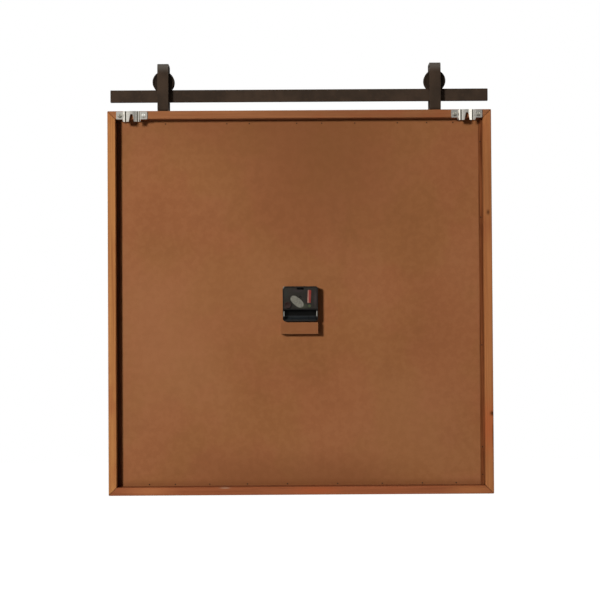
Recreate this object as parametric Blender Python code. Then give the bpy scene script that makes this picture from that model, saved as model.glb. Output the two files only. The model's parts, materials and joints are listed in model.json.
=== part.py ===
"""A square barn-door wall clock: framed plank face, rail, strap hangers, wheels and quartz movement.

Lengths are millimetres until a mesh is made, then metres. +Z is up, +Y points at the wall and -Y at the
room, so the dial faces -Y. The origin lies in the wall's plane, midway between the two wall hangers, at the
height of the wall screws. "left" and "right" are those of someone who faces the dial.
"""

import math

import bmesh
import bpy
from mathutils import Matrix

MM = 0.001
GAP = 0.3  # air between two pieces that touch
PAST = 3.0  # how far a cutter runs beyond the surface that it opens

# Driving sizes
SIDE = 610.0  # the square frame
RIM = 12.7  # a frame member's face on the wall side
LIP = 10.0  # the ledge inside it that carries the panel
FRAME_DEPTH = 31.0
LIP_DEPTH = 10.0
PANEL_T = 4.0
BATTEN_W = 6.0
BATTEN_T = 3.0
BLOCK_X = (-28.3, 31.8)  # the block under the movement
BLOCK_T = 15.0
BLOCK_TOP = -32.1  # from the clock's centre
BLOCK_BOTTOM = -50.8
FRAME_EDGE = 0.7  # chamfers
TRIM_EDGE = 0.5
PLANK_COUNT = 5
PLANK_GROOVE = 1.2
TOP = 7.85  # the frame's top edge above the wall screws
CENTRE_Z = TOP - SIDE / 2

# Planes across the depth, from the wall to the room
HANGER_RISE = 6.0
Y_REAR = -HANGER_RISE - GAP
Y_FRONT = Y_REAR - FRAME_DEPTH
Y_LIP = Y_FRONT + LIP_DEPTH
Y_PANEL = Y_LIP + GAP + PANEL_T
Y_PLANK_REAR = Y_LIP
Y_PLANK_FRONT = Y_FRONT + GAP

# Wall hangers
HANGER_X = 266.0
HANGER_LENGTH = 49.5
HANGER_SHEET = 1.2
HANGER_MIDDLE = 27.6
HANGER_BEND = 4.0
HANGER_TOP = TOP - 0.9
FOOT_BOTTOM = TOP - 13.4
MIDDLE_BOTTOM = TOP - 17.8
SLOT_R = 2.2
SLOT_MOUTH = 4.6
FOOT_SCREW_X = 18.7
FOOT_SCREW_Z = TOP - 7.8
FOOT_SCREW = (3.4, 1.7, 1.3, 11.0)  # head radius and height, shank radius and length

# Rail, straps and wheels
STRAP_X = 217.0
STRAP_W = 17.4
STRAP_T = 3.0
STRAP_DEPTH = 30.4
STRAP_TOP = TOP + 76.4
STRAP_BOTTOM = TOP - 80.0
STRAP_FOOT = 13.4
BEND_R = 5.0
Y_STRAP_FRONT = Y_FRONT - GAP - STRAP_T
Y_STRAP_REAR = Y_STRAP_FRONT + STRAP_DEPTH
Y_MID = (Y_STRAP_FRONT + Y_STRAP_REAR) / 2
RAIL_LENGTH = 604.6
RAIL_T = 5.0
RAIL_BOTTOM = TOP + 16.4
RAIL_TOP = TOP + 36.0
RAIL_SCREW_Z = TOP + 24.9
RAIL_SCREW = (4.5, 2.4, 2.5, 16.0)
WHEEL_Z = TOP + 48.4
WHEEL_R = 17.4
WHEEL_HALF = 5.5
GROOVE_R = WHEEL_Z - RAIL_TOP - GAP
GROOVE_HALF = RAIL_T / 2 + 0.7
HUB_R = 6.0
WEB_R = WHEEL_R - 2.8  # the dished side, inside the rim
WEB_DISH = 1.2
UPPER_BOLT_Z = TOP - (RIM + LIP) / 2
LOWER_BOLT_Z = TOP - 65.0
BOLT_R = 3.0
BOLT_HOLE_R = BOLT_R + GAP
RAIL_HOLE_R = RAIL_SCREW[2] + GAP
PILOT_R = FOOT_SCREW[2] + GAP
AXLE_HEAD = (11.0, 4.0)  # across flats and height
AXLE_LENGTH = 25.6
AXLE_NUT = (10.0, 4.5)
STRAP_HEAD = (12.0, 4.5)
UPPER_BOLT_LENGTH = 12.0
LOWER_BOLT_LENGTH = 10.0
SPACER_R = 4.0

# Movement
CASE_W = 56.0
CASE_TOP = 25.0
CASE_BOTTOM = -31.0
CASE_CORNER = 4.0
GASKET_T = 0.8
Y_CASE_FRONT = Y_PANEL + GASKET_T + 2 * GAP
Y_CASE_REAR = Y_CASE_FRONT + 15.5
CASE_FLOOR = 1.4
CASE_WALL = 1.5
COVER_T = 1.6
WORKS_BOTTOM = -11.0
WORKS_STEP = 0.9  # the ledge under the cover
BAY_TOP = -12.3
BAY_BOTTOM = -28.0
BAY_HALF = 27.0
BAY_FLOOR = 0.9
SEAT_HALF = 25.2  # the cell's floor, between the contacts' pockets
POCKET_STEP = 0.5  # how much shallower the pockets are
CONTACT_REACH = 1.2
CONTACT_T = 0.4
CONTACT_FOLD = 5.0
CONTACT_HALF = 4.0
CONTACT_UP = 1.5  # above the bay's middle
NOTCH_HALF = 5.5  # in the cover's top edge
NOTCH_DEPTH = 3.6
Y_FLOOR = Y_CASE_FRONT + CASE_FLOOR
Y_COVER = Y_CASE_REAR - COVER_T
HOLE_R = 4.5  # the shaft's hole in panel and plank

# Motion works: module 0.5 gears, 10 to 30 and 8 to 32 teeth, so the hour hand turns 12 times slower
MODULE = 0.5
CANNON_TEETH = 10
MINUTE_TEETH = 30
PINION_TEETH = 8
HOUR_TEETH = 32
KNOB_TEETH = 12
WHEEL_X = 9.84
WHEEL_UP = -1.73
KNOB_X = 19.9
KNOB_UP = -4.7
KNOB_R = 5.4
KNURL = 0.3
CANNON_Y = (Y_FLOOR + 3.9, Y_FLOOR + 5.9)
MINUTE_Y = (Y_FLOOR + 4.3, Y_FLOOR + 5.3)
HOUR_Y = (Y_FLOOR + 1.7, Y_FLOOR + 2.7)
PINION_START = Y_FLOOR + 1.5

# The stack in front of the planks
Y_WASHER = (Y_PLANK_FRONT - GAP - 0.8, Y_PLANK_FRONT - GAP)
Y_NUT = (Y_WASHER[0] - GAP - 2.5, Y_WASHER[0] - GAP)
Y_BUSHING = Y_NUT[0] - 0.6
Y_HOUR_HAND = (Y_BUSHING - 1.3, Y_BUSHING - 0.5)
Y_TUBE = Y_HOUR_HAND[0] - 0.8
Y_MINUTE_HAND = (Y_HOUR_HAND[0] - 3.2, Y_HOUR_HAND[0] - 2.4)
Y_ARBOR = Y_MINUTE_HAND[0] - 1.4
ARBOR_R = 1.5
TUBE_R = 2.5
BUSHING_R = 3.9
HOUR_ANGLE = math.radians(305)  # ten past ten
MINUTE_ANGLE = math.radians(60)
HOUR_SHAPE = (132.0, 34.0, 13.0, 11.0)  # length, tail, width and eye radius
MINUTE_SHAPE = (196.0, 46.0, 10.0, 8.5)

# The movement's electric side, from the shaft
ROTOR_X = -16.5
ROTOR_UP = 6.0
BOARD_X = (-24.5, -8.5)
BOARD_Z = (13.2, 22.0)
CHIP_X = (-19.5, -13.5)
CHIP_Z = (15.2, 20.0)
COIL_UP = -5.0
STATOR_Z = (-8.5, 11.5)


def clear_scene():
    for obj in list(bpy.data.objects):
        bpy.data.objects.remove(obj, do_unlink=True)


def material(name, colour, roughness, metallic=0.0):
    """A Principled BSDF of one finish; colour is linear RGB."""
    mat = bpy.data.materials.new(name)
    mat.use_nodes = True
    shader = mat.node_tree.nodes["Principled BSDF"]
    shader.inputs["Base Color"].default_value = (*colour, 1.0)
    shader.inputs["Roughness"].default_value = roughness
    shader.inputs["Metallic"].default_value = metallic
    return mat


def finishes():
    return {
        "frame_wood": material("frame_wood", (0.36, 0.15, 0.05), 0.5),
        "panel_paint": material("panel_paint", (0.25, 0.11, 0.045), 0.6),
        "batten_wood": material("batten_wood", (0.12, 0.04, 0.02), 0.55),
        "face_wood": material("face_wood", (0.30, 0.19, 0.11), 0.7),
        "bronze_steel": material("bronze_steel", (0.04, 0.027, 0.02), 0.45, 0.6),
        "zinc": material("zinc", (0.62, 0.6, 0.55), 0.25, 1.0),
        "black_plastic": material("black_plastic", (0.02, 0.018, 0.016), 0.4),
        "brass": material("brass", (0.7, 0.5, 0.2), 0.3, 1.0),
        "white_plastic": material("white_plastic", (0.75, 0.73, 0.68), 0.45),
        "rubber": material("rubber", (0.02, 0.02, 0.02), 0.9),
        "copper_wire": material("copper_wire", (0.45, 0.16, 0.06), 0.4, 0.8),
        "board_green": material("board_green", (0.03, 0.13, 0.05), 0.5),
        "hand_black": material("hand_black", (0.015, 0.014, 0.013), 0.5, 0.4),
    }


def add_object(name, bm, mat, at=(0.0, 0.0, 0.0), turn=0.0, round_piece=False):
    """Link a bmesh in millimetres as an object in metres at `at`, turned about +Y."""
    bmesh.ops.scale(bm, vec=(MM, MM, MM), verts=bm.verts)
    bmesh.ops.recalc_face_normals(bm, faces=bm.faces)
    mesh = bpy.data.meshes.new(name)
    bm.to_mesh(mesh)
    bm.free()
    if mat is not None:
        mesh.materials.append(mat)
    if round_piece:
        mesh.shade_smooth()
        mesh.set_sharp_from_angle(angle=math.radians(35))
    obj = bpy.data.objects.new(name, mesh)
    obj.location = [value * MM for value in at]
    obj.rotation_euler = (0.0, turn, 0.0)
    bpy.context.scene.collection.objects.link(obj)
    return obj


def soften(bm, width):
    """Chamfer the convex edges; the inner corner that a neighbour sits in stays sharp."""
    bmesh.ops.recalc_face_normals(bm, faces=bm.faces)
    sharp = [edge for edge in bm.edges if edge.calc_face_angle_signed() > math.radians(40)]
    bmesh.ops.bevel(bm, geom=sharp, offset=width, segments=1, affect="EDGES")
    return bm


def boolean(obj, other, operation="DIFFERENCE"):
    """Cut or join `other`, which stays as a hidden wire guide."""
    other.hide_render = True
    other.display_type = "WIRE"
    mod = obj.modifiers.new(other.name, "BOOLEAN")
    mod.operation = operation
    mod.solver = "EXACT"
    mod.object = other


def extrusion(outline, axis, low, high):
    """A closed prism: `outline` lies across `axis`, as (x, z) for Y, (y, z) for X and (x, y) for Z."""
    place = {
        "X": lambda a, b, t: (t, a, b),
        "Y": lambda a, b, t: (a, t, b),
        "Z": lambda a, b, t: (a, b, t),
    }[axis]
    bm = bmesh.new()
    rings = [[bm.verts.new(place(a, b, t)) for a, b in outline] for t in (low, high)]
    for ring in rings:
        bm.faces.new(ring)
    for i in range(len(outline)):
        j = (i + 1) % len(outline)
        bm.faces.new((rings[0][i], rings[0][j], rings[1][j], rings[1][i]))
    return bm


def box(x, y, z):
    """A box from three (low, high) pairs."""
    return extrusion([(x[0], z[0]), (x[1], z[0]), (x[1], z[1]), (x[0], z[1])], "Y", *y)


def arc(a, b, radius, start, end, steps):
    """Points on an arc round (a, b), from `start` to `end` degrees."""
    angles = [math.radians(start + (end - start) * i / steps) for i in range(steps + 1)]
    return [(a + radius * math.cos(t), b + radius * math.sin(t)) for t in angles]


def circle(a, b, radius, steps=24):
    return arc(a, b, radius, 0, 360, steps)[:-1]


def rounded_rectangle(x, z, radius, steps=3):
    corners = ((x[1], z[1], 0), (x[0], z[1], 90), (x[0], z[0], 180), (x[1], z[0], 270))
    points = []
    for cx, cz, start in corners:
        ax = cx - math.copysign(radius, cx - sum(x) / 2)
        az = cz - math.copysign(radius, cz - sum(z) / 2)
        points += arc(ax, az, radius, start, start + 90, steps)
    return points


def turned(stations, angles):
    """A body round the Y axis. A station is (radius, y), its radius a length, 0 or a function of angle.

    The stations run round the section. Where they start and end on the axis the body is solid, and where
    they don't it is a tube.
    """
    bm = bmesh.new()
    rings = []
    for radius, y in stations:
        if radius == 0:
            rings.append([bm.verts.new((0.0, y, 0.0))] * len(angles))
            continue
        lengths = [radius(t) if callable(radius) else radius for t in angles]
        spots = [(r * math.cos(t), y, r * math.sin(t)) for r, t in zip(lengths, angles)]
        rings.append([bm.verts.new(spot) for spot in spots])
    solid = stations[0][0] == 0
    pairs = list(zip(rings, rings[1:])) if solid else list(zip(rings, rings[1:] + rings[:1]))
    for first, second in pairs:
        for i in range(len(angles)):
            j = (i + 1) % len(angles)
            corners = [first[i], first[j], second[j], second[i]]
            unique = [v for k, v in enumerate(corners) if v not in corners[:k]]
            bm.faces.new(unique)
    return bm


def even_angles(count, start=0.0):
    return [start + 2 * math.pi * i / count for i in range(count)]


def hexagon(across_flats):
    """Radius, as a function of angle, of a hexagon with flats at top and bottom."""
    sixth = math.pi / 3
    return lambda t: across_flats / 2 / math.cos((t % sixth) - sixth / 2)


def teeth_outline(teeth, phase, tip=0.09, root=0.29, rise=0.36, fall=0.62):
    """Radius, as a function of angle, of a gear whose first tooth is centred on the angle `phase`."""
    pitch_r = MODULE * teeth / 2

    def radius(t):
        across = abs(((t - phase) * teeth / (2 * math.pi) + 0.5) % 1.0 - 0.5)
        share = min(max((across - tip) / (root - tip), 0.0), 1.0)
        return pitch_r + rise - share * (rise + fall)

    return radius


def tooth_angles(teeth, phase, steps=(-0.09, 0.09, 0.29, 0.71)):
    """The angles of each tooth where its outline turns, in steps of its pitch."""
    return [phase + (k + u) * 2 * math.pi / teeth for k in range(teeth) for u in steps]


def meshing_phase(phase, teeth, towards, other_teeth):
    """Phase of the gear that lies in direction `towards` and meshes with the one given."""
    share = ((towards - phase) * teeth / (2 * math.pi)) % 1.0
    return towards + math.pi + (share + 0.5) * 2 * math.pi / other_teeth


def drill(obj, x, z, radius, y, steps=16):
    """Bore a hole along Y through `obj`, whose own origin may lie elsewhere."""
    bm = extrusion(circle(0, 0, radius, steps), "Y", *y)
    guide = add_object(f"bore_{obj.name}_{len(obj.modifiers)}", bm, None)
    guide.location = (x * MM, 0.0, z * MM)
    boolean(obj, guide)


def slot_cut(obj, bm, at=(0.0, 0.0, 0.0)):
    boolean(obj, add_object(f"cut_{obj.name}_{len(obj.modifiers)}", bm, None, at))


# Frame and face


def frame_member(name, turn, mat):
    """One mitred member, made as the top one round the frame's centre and turned into its place."""
    half = SIDE / 2
    shrink = GAP / 2 / math.sin(math.radians(45))
    section = (
        (0.0, Y_REAR),
        (RIM, Y_REAR),
        (RIM, Y_LIP),
        (RIM + LIP, Y_LIP),
        (RIM + LIP, Y_FRONT),
        (0.0, Y_FRONT),
    )
    bm = bmesh.new()
    ends = []
    for side in (-1, 1):
        ends.append([bm.verts.new((side * (half - d - shrink), y, half - d)) for d, y in section])
        bm.faces.new(ends[-1])
    for i in range(len(section)):
        j = (i + 1) % len(section)
        bm.faces.new((ends[0][i], ends[0][j], ends[1][j], ends[1][i]))
    bmesh.ops.rotate(bm, verts=bm.verts, matrix=Matrix.Rotation(turn, 3, "Y"))
    return add_object(name, soften(bm, FRAME_EDGE), mat, (0.0, 0.0, CENTRE_Z))


def build_frame(mats):
    wood = mats["frame_wood"]
    top = frame_member("frame_top", 0.0, wood)
    frame_member("frame_right", math.pi / 2, wood)
    frame_member("frame_bottom", math.pi, wood)
    frame_member("frame_left", -math.pi / 2, wood)
    for side in (-1, 1):
        drill(top, side * STRAP_X, UPPER_BOLT_Z, BOLT_HOLE_R, (Y_FRONT - PAST, Y_LIP - 1))
        for foot in (-1, 1):
            x = side * HANGER_X + foot * FOOT_SCREW_X
            drill(top, x, FOOT_SCREW_Z, PILOT_R, (Y_REAR - 10.5, Y_REAR + PAST), 12)


def build_panel(mats):
    half = SIDE / 2 - RIM - GAP
    low, high = CENTRE_Z - half, CENTRE_Z + half
    panel_y = (Y_PANEL - PANEL_T, Y_PANEL)
    panel = add_object("back_panel", box((-half, half), panel_y, (low, high)), mats["panel_paint"])
    drill(panel, 0, CENTRE_Z, HOLE_R, (Y_PLANK_REAR - 1, Y_PANEL + PAST))
    seat = Y_PANEL + GAP
    for name, side in (("batten_left", -1), ("batten_right", 1)):
        x = sorted((side * half, side * (half - BATTEN_W)))
        strip = box(x, (seat, seat + BATTEN_T), (low, high))
        add_object(name, soften(strip, TRIM_EDGE), mats["batten_wood"])
    block_z = (CENTRE_Z + BLOCK_BOTTOM, CENTRE_Z + BLOCK_TOP)
    block = box(BLOCK_X, (seat, seat + BLOCK_T), block_z)
    add_object("stop_block", soften(block, TRIM_EDGE), mats["panel_paint"])


def build_planks(mats):
    span = SIDE - 2 * (RIM + LIP + GAP)
    pitch = span / PLANK_COUNT
    groove = PLANK_GROOVE
    for i in range(PLANK_COUNT):
        x0 = -span / 2 + i * pitch + GAP * (i > 0)
        x1 = -span / 2 + (i + 1) * pitch - GAP * (i < PLANK_COUNT - 1)
        section = (
            (x0, Y_PLANK_REAR),
            (x1, Y_PLANK_REAR),
            (x1, Y_PLANK_FRONT + groove),
            (x1 - groove, Y_PLANK_FRONT),
            (x0 + groove, Y_PLANK_FRONT),
            (x0, Y_PLANK_FRONT + groove),
        )
        bm = extrusion(section, "Z", CENTRE_Z - span / 2, CENTRE_Z + span / 2)
        plank = add_object(f"plank_{i + 1}", bm, mats["face_wood"])
        if x0 < 0 < x1:
            drill(plank, 0, CENTRE_Z, HOLE_R, (Y_PLANK_FRONT - PAST, Y_PLANK_REAR + 1))
        for side in (-1, 1):
            if x0 < side * STRAP_X < x1:
                blind = (Y_PLANK_FRONT - PAST, Y_PLANK_FRONT + 7.5)
                drill(plank, side * STRAP_X, LOWER_BOLT_Z, BOLT_HOLE_R, blind)


# Wall hangers


def hanger_rise(distance):
    """How far a hanger's sheet stands off its feet at a distance from its middle."""
    flat = HANGER_MIDDLE / 2 - HANGER_BEND
    share = min(max((distance - flat) / HANGER_BEND, 0.0), 1.0)
    return (HANGER_RISE - HANGER_SHEET) * (0.5 + 0.5 * math.cos(math.pi * share))


def hanger_mesh():
    """A strip bent like a hat; its middle is taller than its feet."""
    half = HANGER_LENGTH / 2
    bend = [HANGER_MIDDLE / 2 - HANGER_BEND * i / 5 for i in range(6)]
    right = [half, HANGER_MIDDLE / 2 + 0.6, *bend]
    stations = sorted({round(sign * x, 4) for x in right for sign in (-1, 1)})
    bm = bmesh.new()
    rings = []
    for x in stations:
        low = FOOT_BOTTOM if abs(x) > HANGER_MIDDLE / 2 + 0.1 else MIDDLE_BOTTOM
        inner = -HANGER_RISE + hanger_rise(abs(x))
        outer = inner + HANGER_SHEET
        corners = ((outer, HANGER_TOP), (outer, low), (inner, low), (inner, HANGER_TOP))
        rings.append([bm.verts.new((x, y, z)) for y, z in corners])
    for first, second in zip(rings, rings[1:]):
        for i in range(4):
            j = (i + 1) % 4
            bm.faces.new((first[i], first[j], second[j], second[i]))
    bm.faces.new(rings[0])
    bm.faces.new(rings[-1])
    return bm


def slot_outline():
    """The wall screw's slot: round at its top, on the hanging line, and open at the bottom."""
    mouth = MIDDLE_BOTTOM - 2
    return [(SLOT_MOUTH, mouth), *arc(0, 0, SLOT_R, 0, 180, 8), (-SLOT_MOUTH, mouth)]


def wood_screw(name, mat, x, z, y_seat, direction, size):
    """A screw with a domed, slotted head; `direction` is +1 where its head faces the wall."""
    out = direction
    head_r, head_h, shank_r, length = size
    stations = [
        (0, y_seat + out * head_h),
        (head_r * 0.55, y_seat + out * head_h * 0.93),
        (head_r * 0.9, y_seat + out * head_h * 0.6),
        (head_r, y_seat),
        (shank_r, y_seat),
        (shank_r, y_seat - out * (length - 2)),
        (0, y_seat - out * length),
    ]
    screw = add_object(name, turned(stations, even_angles(18)), mat, (x, 0, z), round_piece=True)
    slot_y = sorted((y_seat + out * head_h * 0.45, y_seat + out * (head_h + 1)))
    slot_half = head_r * 0.14
    slot_cut(screw, box((-head_r - 1, head_r + 1), slot_y, (-slot_half, slot_half)), (x, 0, z))
    return screw


def build_hangers(mats):
    for side_name, side in (("left", -1), ("right", 1)):
        centre = side * HANGER_X
        at = (centre, 0, 0)
        plate = add_object(f"hanger_{side_name}", hanger_mesh(), mats["zinc"], at, round_piece=True)
        slot_cut(plate, extrusion(slot_outline(), "Y", -HANGER_RISE - 1, 2), at)
        for foot_name, foot in (("a", -1), ("b", 1)):
            x = centre + foot * FOOT_SCREW_X
            drill(plate, x, FOOT_SCREW_Z, PILOT_R, (-HANGER_RISE - PAST, -HANGER_RISE + PAST), 12)
            seat = -HANGER_RISE + HANGER_SHEET + GAP
            name = f"hanger_screw_{side_name}_{foot_name}"
            wood_screw(name, mats["zinc"], x, FOOT_SCREW_Z, seat, 1, FOOT_SCREW)


# Rail, straps and wheels


def strap_outline():
    """Side view of a strap as (y, z): front leg, over the wheel, rear leg and the foot on the frame."""
    front, rear, t = Y_STRAP_FRONT, Y_STRAP_REAR, STRAP_T
    top, foot, r = STRAP_TOP, TOP + GAP, BEND_R
    inner = r - t
    toe = rear - STRAP_FOOT
    return [
        (front, STRAP_BOTTOM),
        *arc(front + r, top - r, r, 180, 90, 4),
        *arc(rear - r, top - r, r, 90, 0, 4),
        *arc(rear - r + 1, foot + r - 1, r - 1, 0, -90, 3),
        (toe, foot),
        (toe, foot + t),
        (rear - t - 1, foot + t),
        (rear - t, foot + t + 1),
        *arc(rear - r, top - r, inner, 0, 90, 3),
        *arc(front + r, top - r, inner, 90, 180, 3),
        (front + t, STRAP_BOTTOM),
    ]


def hex_bolt(name, mat, x, z, y_seat, head, length):
    """A bolt whose chamfered hexagonal head, given as (across flats, height), faces the room."""
    across, head_h = head
    flats = hexagon(across)
    chamfer = across * 0.46
    stations = [
        (0, y_seat - head_h),
        (chamfer, y_seat - head_h),
        (flats, y_seat - head_h + 0.8),
        (flats, y_seat),
        (BOLT_R, y_seat),
        (BOLT_R, y_seat + length - 0.6),
        (BOLT_R - 0.6, y_seat + length),
        (0, y_seat + length),
    ]
    return add_object(name, turned(stations, even_angles(18)), mat, (x, 0, z), round_piece=True)


def hex_nut(name, mat, x, z, y, across, bore_r):
    flats = hexagon(across)
    chamfer = across * 0.46
    stations = [
        (bore_r, y[0]),
        (chamfer, y[0]),
        (flats, y[0] + 0.6),
        (flats, y[1] - 0.6),
        (chamfer, y[1]),
        (bore_r, y[1]),
    ]
    return add_object(name, turned(stations, even_angles(18)), mat, (x, 0, z), round_piece=True)


def tube(name, mat, x, z, y, outer_r, inner_r, steps=24):
    stations = [(inner_r, y[0]), (outer_r, y[0]), (outer_r, y[1]), (inner_r, y[1])]
    return add_object(name, turned(stations, even_angles(steps)), mat, (x, 0, z), round_piece=True)


def grooved_wheel(name, mat, x):
    """A wheel whose groove straddles the rail's top edge; its hub reaches to the strap's front leg."""
    front_hub = Y_STRAP_FRONT + STRAP_T + 0.4 - Y_MID
    bore = BOLT_R + 0.25
    stations = [
        (bore, front_hub),
        (HUB_R, front_hub),
        (HUB_R, -WHEEL_HALF + WEB_DISH),
        (WEB_R, -WHEEL_HALF + WEB_DISH),
        (WEB_R + 0.2, -WHEEL_HALF),
        (WHEEL_R - 0.6, -WHEEL_HALF),
        (WHEEL_R, -WHEEL_HALF + 0.6),
        (WHEEL_R, -GROOVE_HALF - 0.5),
        (GROOVE_R, -GROOVE_HALF),
        (GROOVE_R, GROOVE_HALF),
        (WHEEL_R, GROOVE_HALF + 0.5),
        (WHEEL_R, WHEEL_HALF - 0.6),
        (WHEEL_R - 0.6, WHEEL_HALF),
        (bore, WHEEL_HALF),
    ]
    bm = turned(stations, even_angles(28))
    return add_object(name, bm, mat, (x, Y_MID, WHEEL_Z), round_piece=True)


def build_hardware(mats):
    steel = mats["bronze_steel"]
    rail_x = (-RAIL_LENGTH / 2, RAIL_LENGTH / 2)
    rail_y = (Y_MID - RAIL_T / 2, Y_MID + RAIL_T / 2)
    bar = soften(box(rail_x, rail_y, (RAIL_BOTTOM, RAIL_TOP)), TRIM_EDGE)
    rail = add_object("rail", bar, steel)
    seat = Y_STRAP_FRONT - GAP
    for side_name, side in (("left", -1), ("right", 1)):
        x = side * STRAP_X
        drill(rail, x, RAIL_SCREW_Z, RAIL_HOLE_R, (rail_y[0] - PAST, rail_y[1] + PAST), 16)
        bm = extrusion(strap_outline(), "X", -STRAP_W / 2, STRAP_W / 2)
        strap = add_object(f"strap_{side_name}", bm, steel, (x, 0, 0))
        leg = (Y_STRAP_FRONT - PAST, Y_STRAP_FRONT + STRAP_T + PAST)
        drill(strap, x, WHEEL_Z, BOLT_HOLE_R, leg)
        drill(strap, x, RAIL_SCREW_Z, RAIL_HOLE_R, leg, 16)
        drill(strap, x, UPPER_BOLT_Z, BOLT_HOLE_R, leg)
        drill(strap, x, LOWER_BOLT_Z, BOLT_HOLE_R, leg)
        grooved_wheel(f"wheel_{side_name}", steel, x)
        hex_bolt(f"axle_bolt_{side_name}", steel, x, WHEEL_Z, seat, AXLE_HEAD, AXLE_LENGTH)
        nut_start = Y_MID + WHEEL_HALF + 0.4
        nut_y = (nut_start, nut_start + AXLE_NUT[1])
        hex_nut(f"axle_nut_{side_name}", steel, x, WHEEL_Z, nut_y, AXLE_NUT[0], BOLT_HOLE_R)
        spacer_y = (Y_STRAP_FRONT + STRAP_T + GAP, rail_y[0] - GAP)
        tube(f"rail_spacer_{side_name}", steel, x, RAIL_SCREW_Z, spacer_y, SPACER_R, RAIL_HOLE_R, 20)
        wood_screw(f"rail_screw_{side_name}", steel, x, RAIL_SCREW_Z, seat, -1, RAIL_SCREW)
        lower, upper = LOWER_BOLT_LENGTH, UPPER_BOLT_LENGTH
        hex_bolt(f"strap_bolt_{side_name}_upper", steel, x, UPPER_BOLT_Z, seat, STRAP_HEAD, upper)
        hex_bolt(f"strap_bolt_{side_name}_lower", steel, x, LOWER_BOLT_Z, seat, STRAP_HEAD, lower)


# Movement


def case_tray(mats):
    """The case's front half: floor, walls, the wall above the battery bay and the minute wheel's post."""
    x = (-CASE_W / 2, CASE_W / 2)
    outline = rounded_rectangle(x, (CASE_BOTTOM, CASE_TOP), CASE_CORNER)
    bm = extrusion(outline, "Y", Y_CASE_FRONT, Y_CASE_REAR)
    tray = add_object("movement_case", bm, mats["black_plastic"], (0, 0, CENTRE_Z))
    at = (0, 0, CENTRE_Z)
    inner = CASE_W / 2 - CASE_WALL
    works_z = (WORKS_BOTTOM, CASE_TOP - CASE_WALL)
    slot_cut(tray, box((-inner, inner), (Y_COVER - GAP, Y_CASE_REAR + PAST), works_z), at)
    deep_z = (WORKS_BOTTOM + WORKS_STEP, CASE_TOP - CASE_WALL - WORKS_STEP)
    deep_x = (-inner + WORKS_STEP, inner - WORKS_STEP)
    slot_cut(tray, box(deep_x, (Y_FLOOR, Y_COVER), deep_z), at)
    seat = Y_CASE_FRONT + BAY_FLOOR
    bay_z = (BAY_BOTTOM, BAY_TOP)
    slot_cut(tray, box((-BAY_HALF, BAY_HALF), (seat + POCKET_STEP, Y_CASE_REAR + PAST), bay_z), at)
    slot_cut(tray, box((-SEAT_HALF, SEAT_HALF), (seat, Y_CASE_REAR + PAST), bay_z), at)
    drill(tray, 0, CENTRE_Z, BUSHING_R + GAP, (Y_CASE_FRONT - PAST, Y_FLOOR + PAST))
    post = extrusion(circle(WHEEL_X, WHEEL_UP, 0.8, 12), "Y", Y_FLOOR - 0.7, MINUTE_Y[1] + 0.6)
    boolean(tray, add_object("post_guide", post, None, at), "UNION")


def case_cover(mats):
    """The rear cover, with the knob's hole and a notch in its top edge."""
    inner = CASE_W / 2 - CASE_WALL - GAP
    z = (WORKS_BOTTOM + GAP, CASE_TOP - CASE_WALL - GAP)
    at = (0, 0, CENTRE_Z)
    bm = box((-inner, inner), (Y_COVER, Y_CASE_REAR), z)
    cover = add_object("movement_cover", bm, mats["black_plastic"], at)
    through = (Y_COVER - PAST, Y_CASE_REAR + PAST)
    slot_cut(cover, box((-NOTCH_HALF, NOTCH_HALF), through, (z[1] - NOTCH_DEPTH, z[1] + PAST)), at)
    drill(cover, KNOB_X, CENTRE_Z + KNOB_UP, 2.0, through)


def battery_contact(name, side, mat):
    """A sheet strip up the bay's end wall, folded back on itself at the top into a spring."""
    wall = BAY_HALF - GAP
    t = CONTACT_T
    reach = CONTACT_REACH
    low = Y_CASE_FRONT + BAY_FLOOR + POCKET_STEP + GAP
    high = Y_CASE_REAR - 3.0
    outline = [
        (wall, low),
        (wall, high),
        (wall - reach, high),
        (wall - reach, high - CONTACT_FOLD),
        (wall - reach + t, high - CONTACT_FOLD),
        (wall - reach + t, high - t),
        (wall - t, high - t),
        (wall - t, low),
    ]
    outline = [(side * x, y) for x, y in outline]
    middle = (BAY_TOP + BAY_BOTTOM) / 2 + CONTACT_UP
    strip = extrusion(outline, "Z", middle - CONTACT_HALF, middle + CONTACT_HALF)
    add_object(name, strip, mat, (0, 0, CENTRE_Z))


def build_case(mats):
    case_tray(mats)
    case_cover(mats)
    battery_contact("contact_negative", -1, mats["zinc"])
    battery_contact("contact_positive", 1, mats["zinc"])
    gasket_y = (Y_PANEL + GAP, Y_PANEL + GAP + GASKET_T)
    tube("gasket", mats["rubber"], 0, CENTRE_Z, gasket_y, 11.0, 4.6)
    bushing = [
        (2.9, Y_BUSHING),
        (BUSHING_R, Y_BUSHING),
        (BUSHING_R, Y_FLOOR + GAP),
        (5.5, Y_FLOOR + GAP),
        (5.5, Y_FLOOR + 1.3),
        (2.9, Y_FLOOR + 1.3),
    ]
    at = (0, 0, CENTRE_Z)
    add_object("shaft_bushing", turned(bushing, even_angles(20)), mats["brass"], at, round_piece=True)
    tube("dial_washer", mats["brass"], 0, CENTRE_Z, Y_WASHER, 8.0, 4.3)
    hex_nut("dial_nut", mats["brass"], 0, CENTRE_Z, Y_NUT, 12, 4.2)


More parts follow.
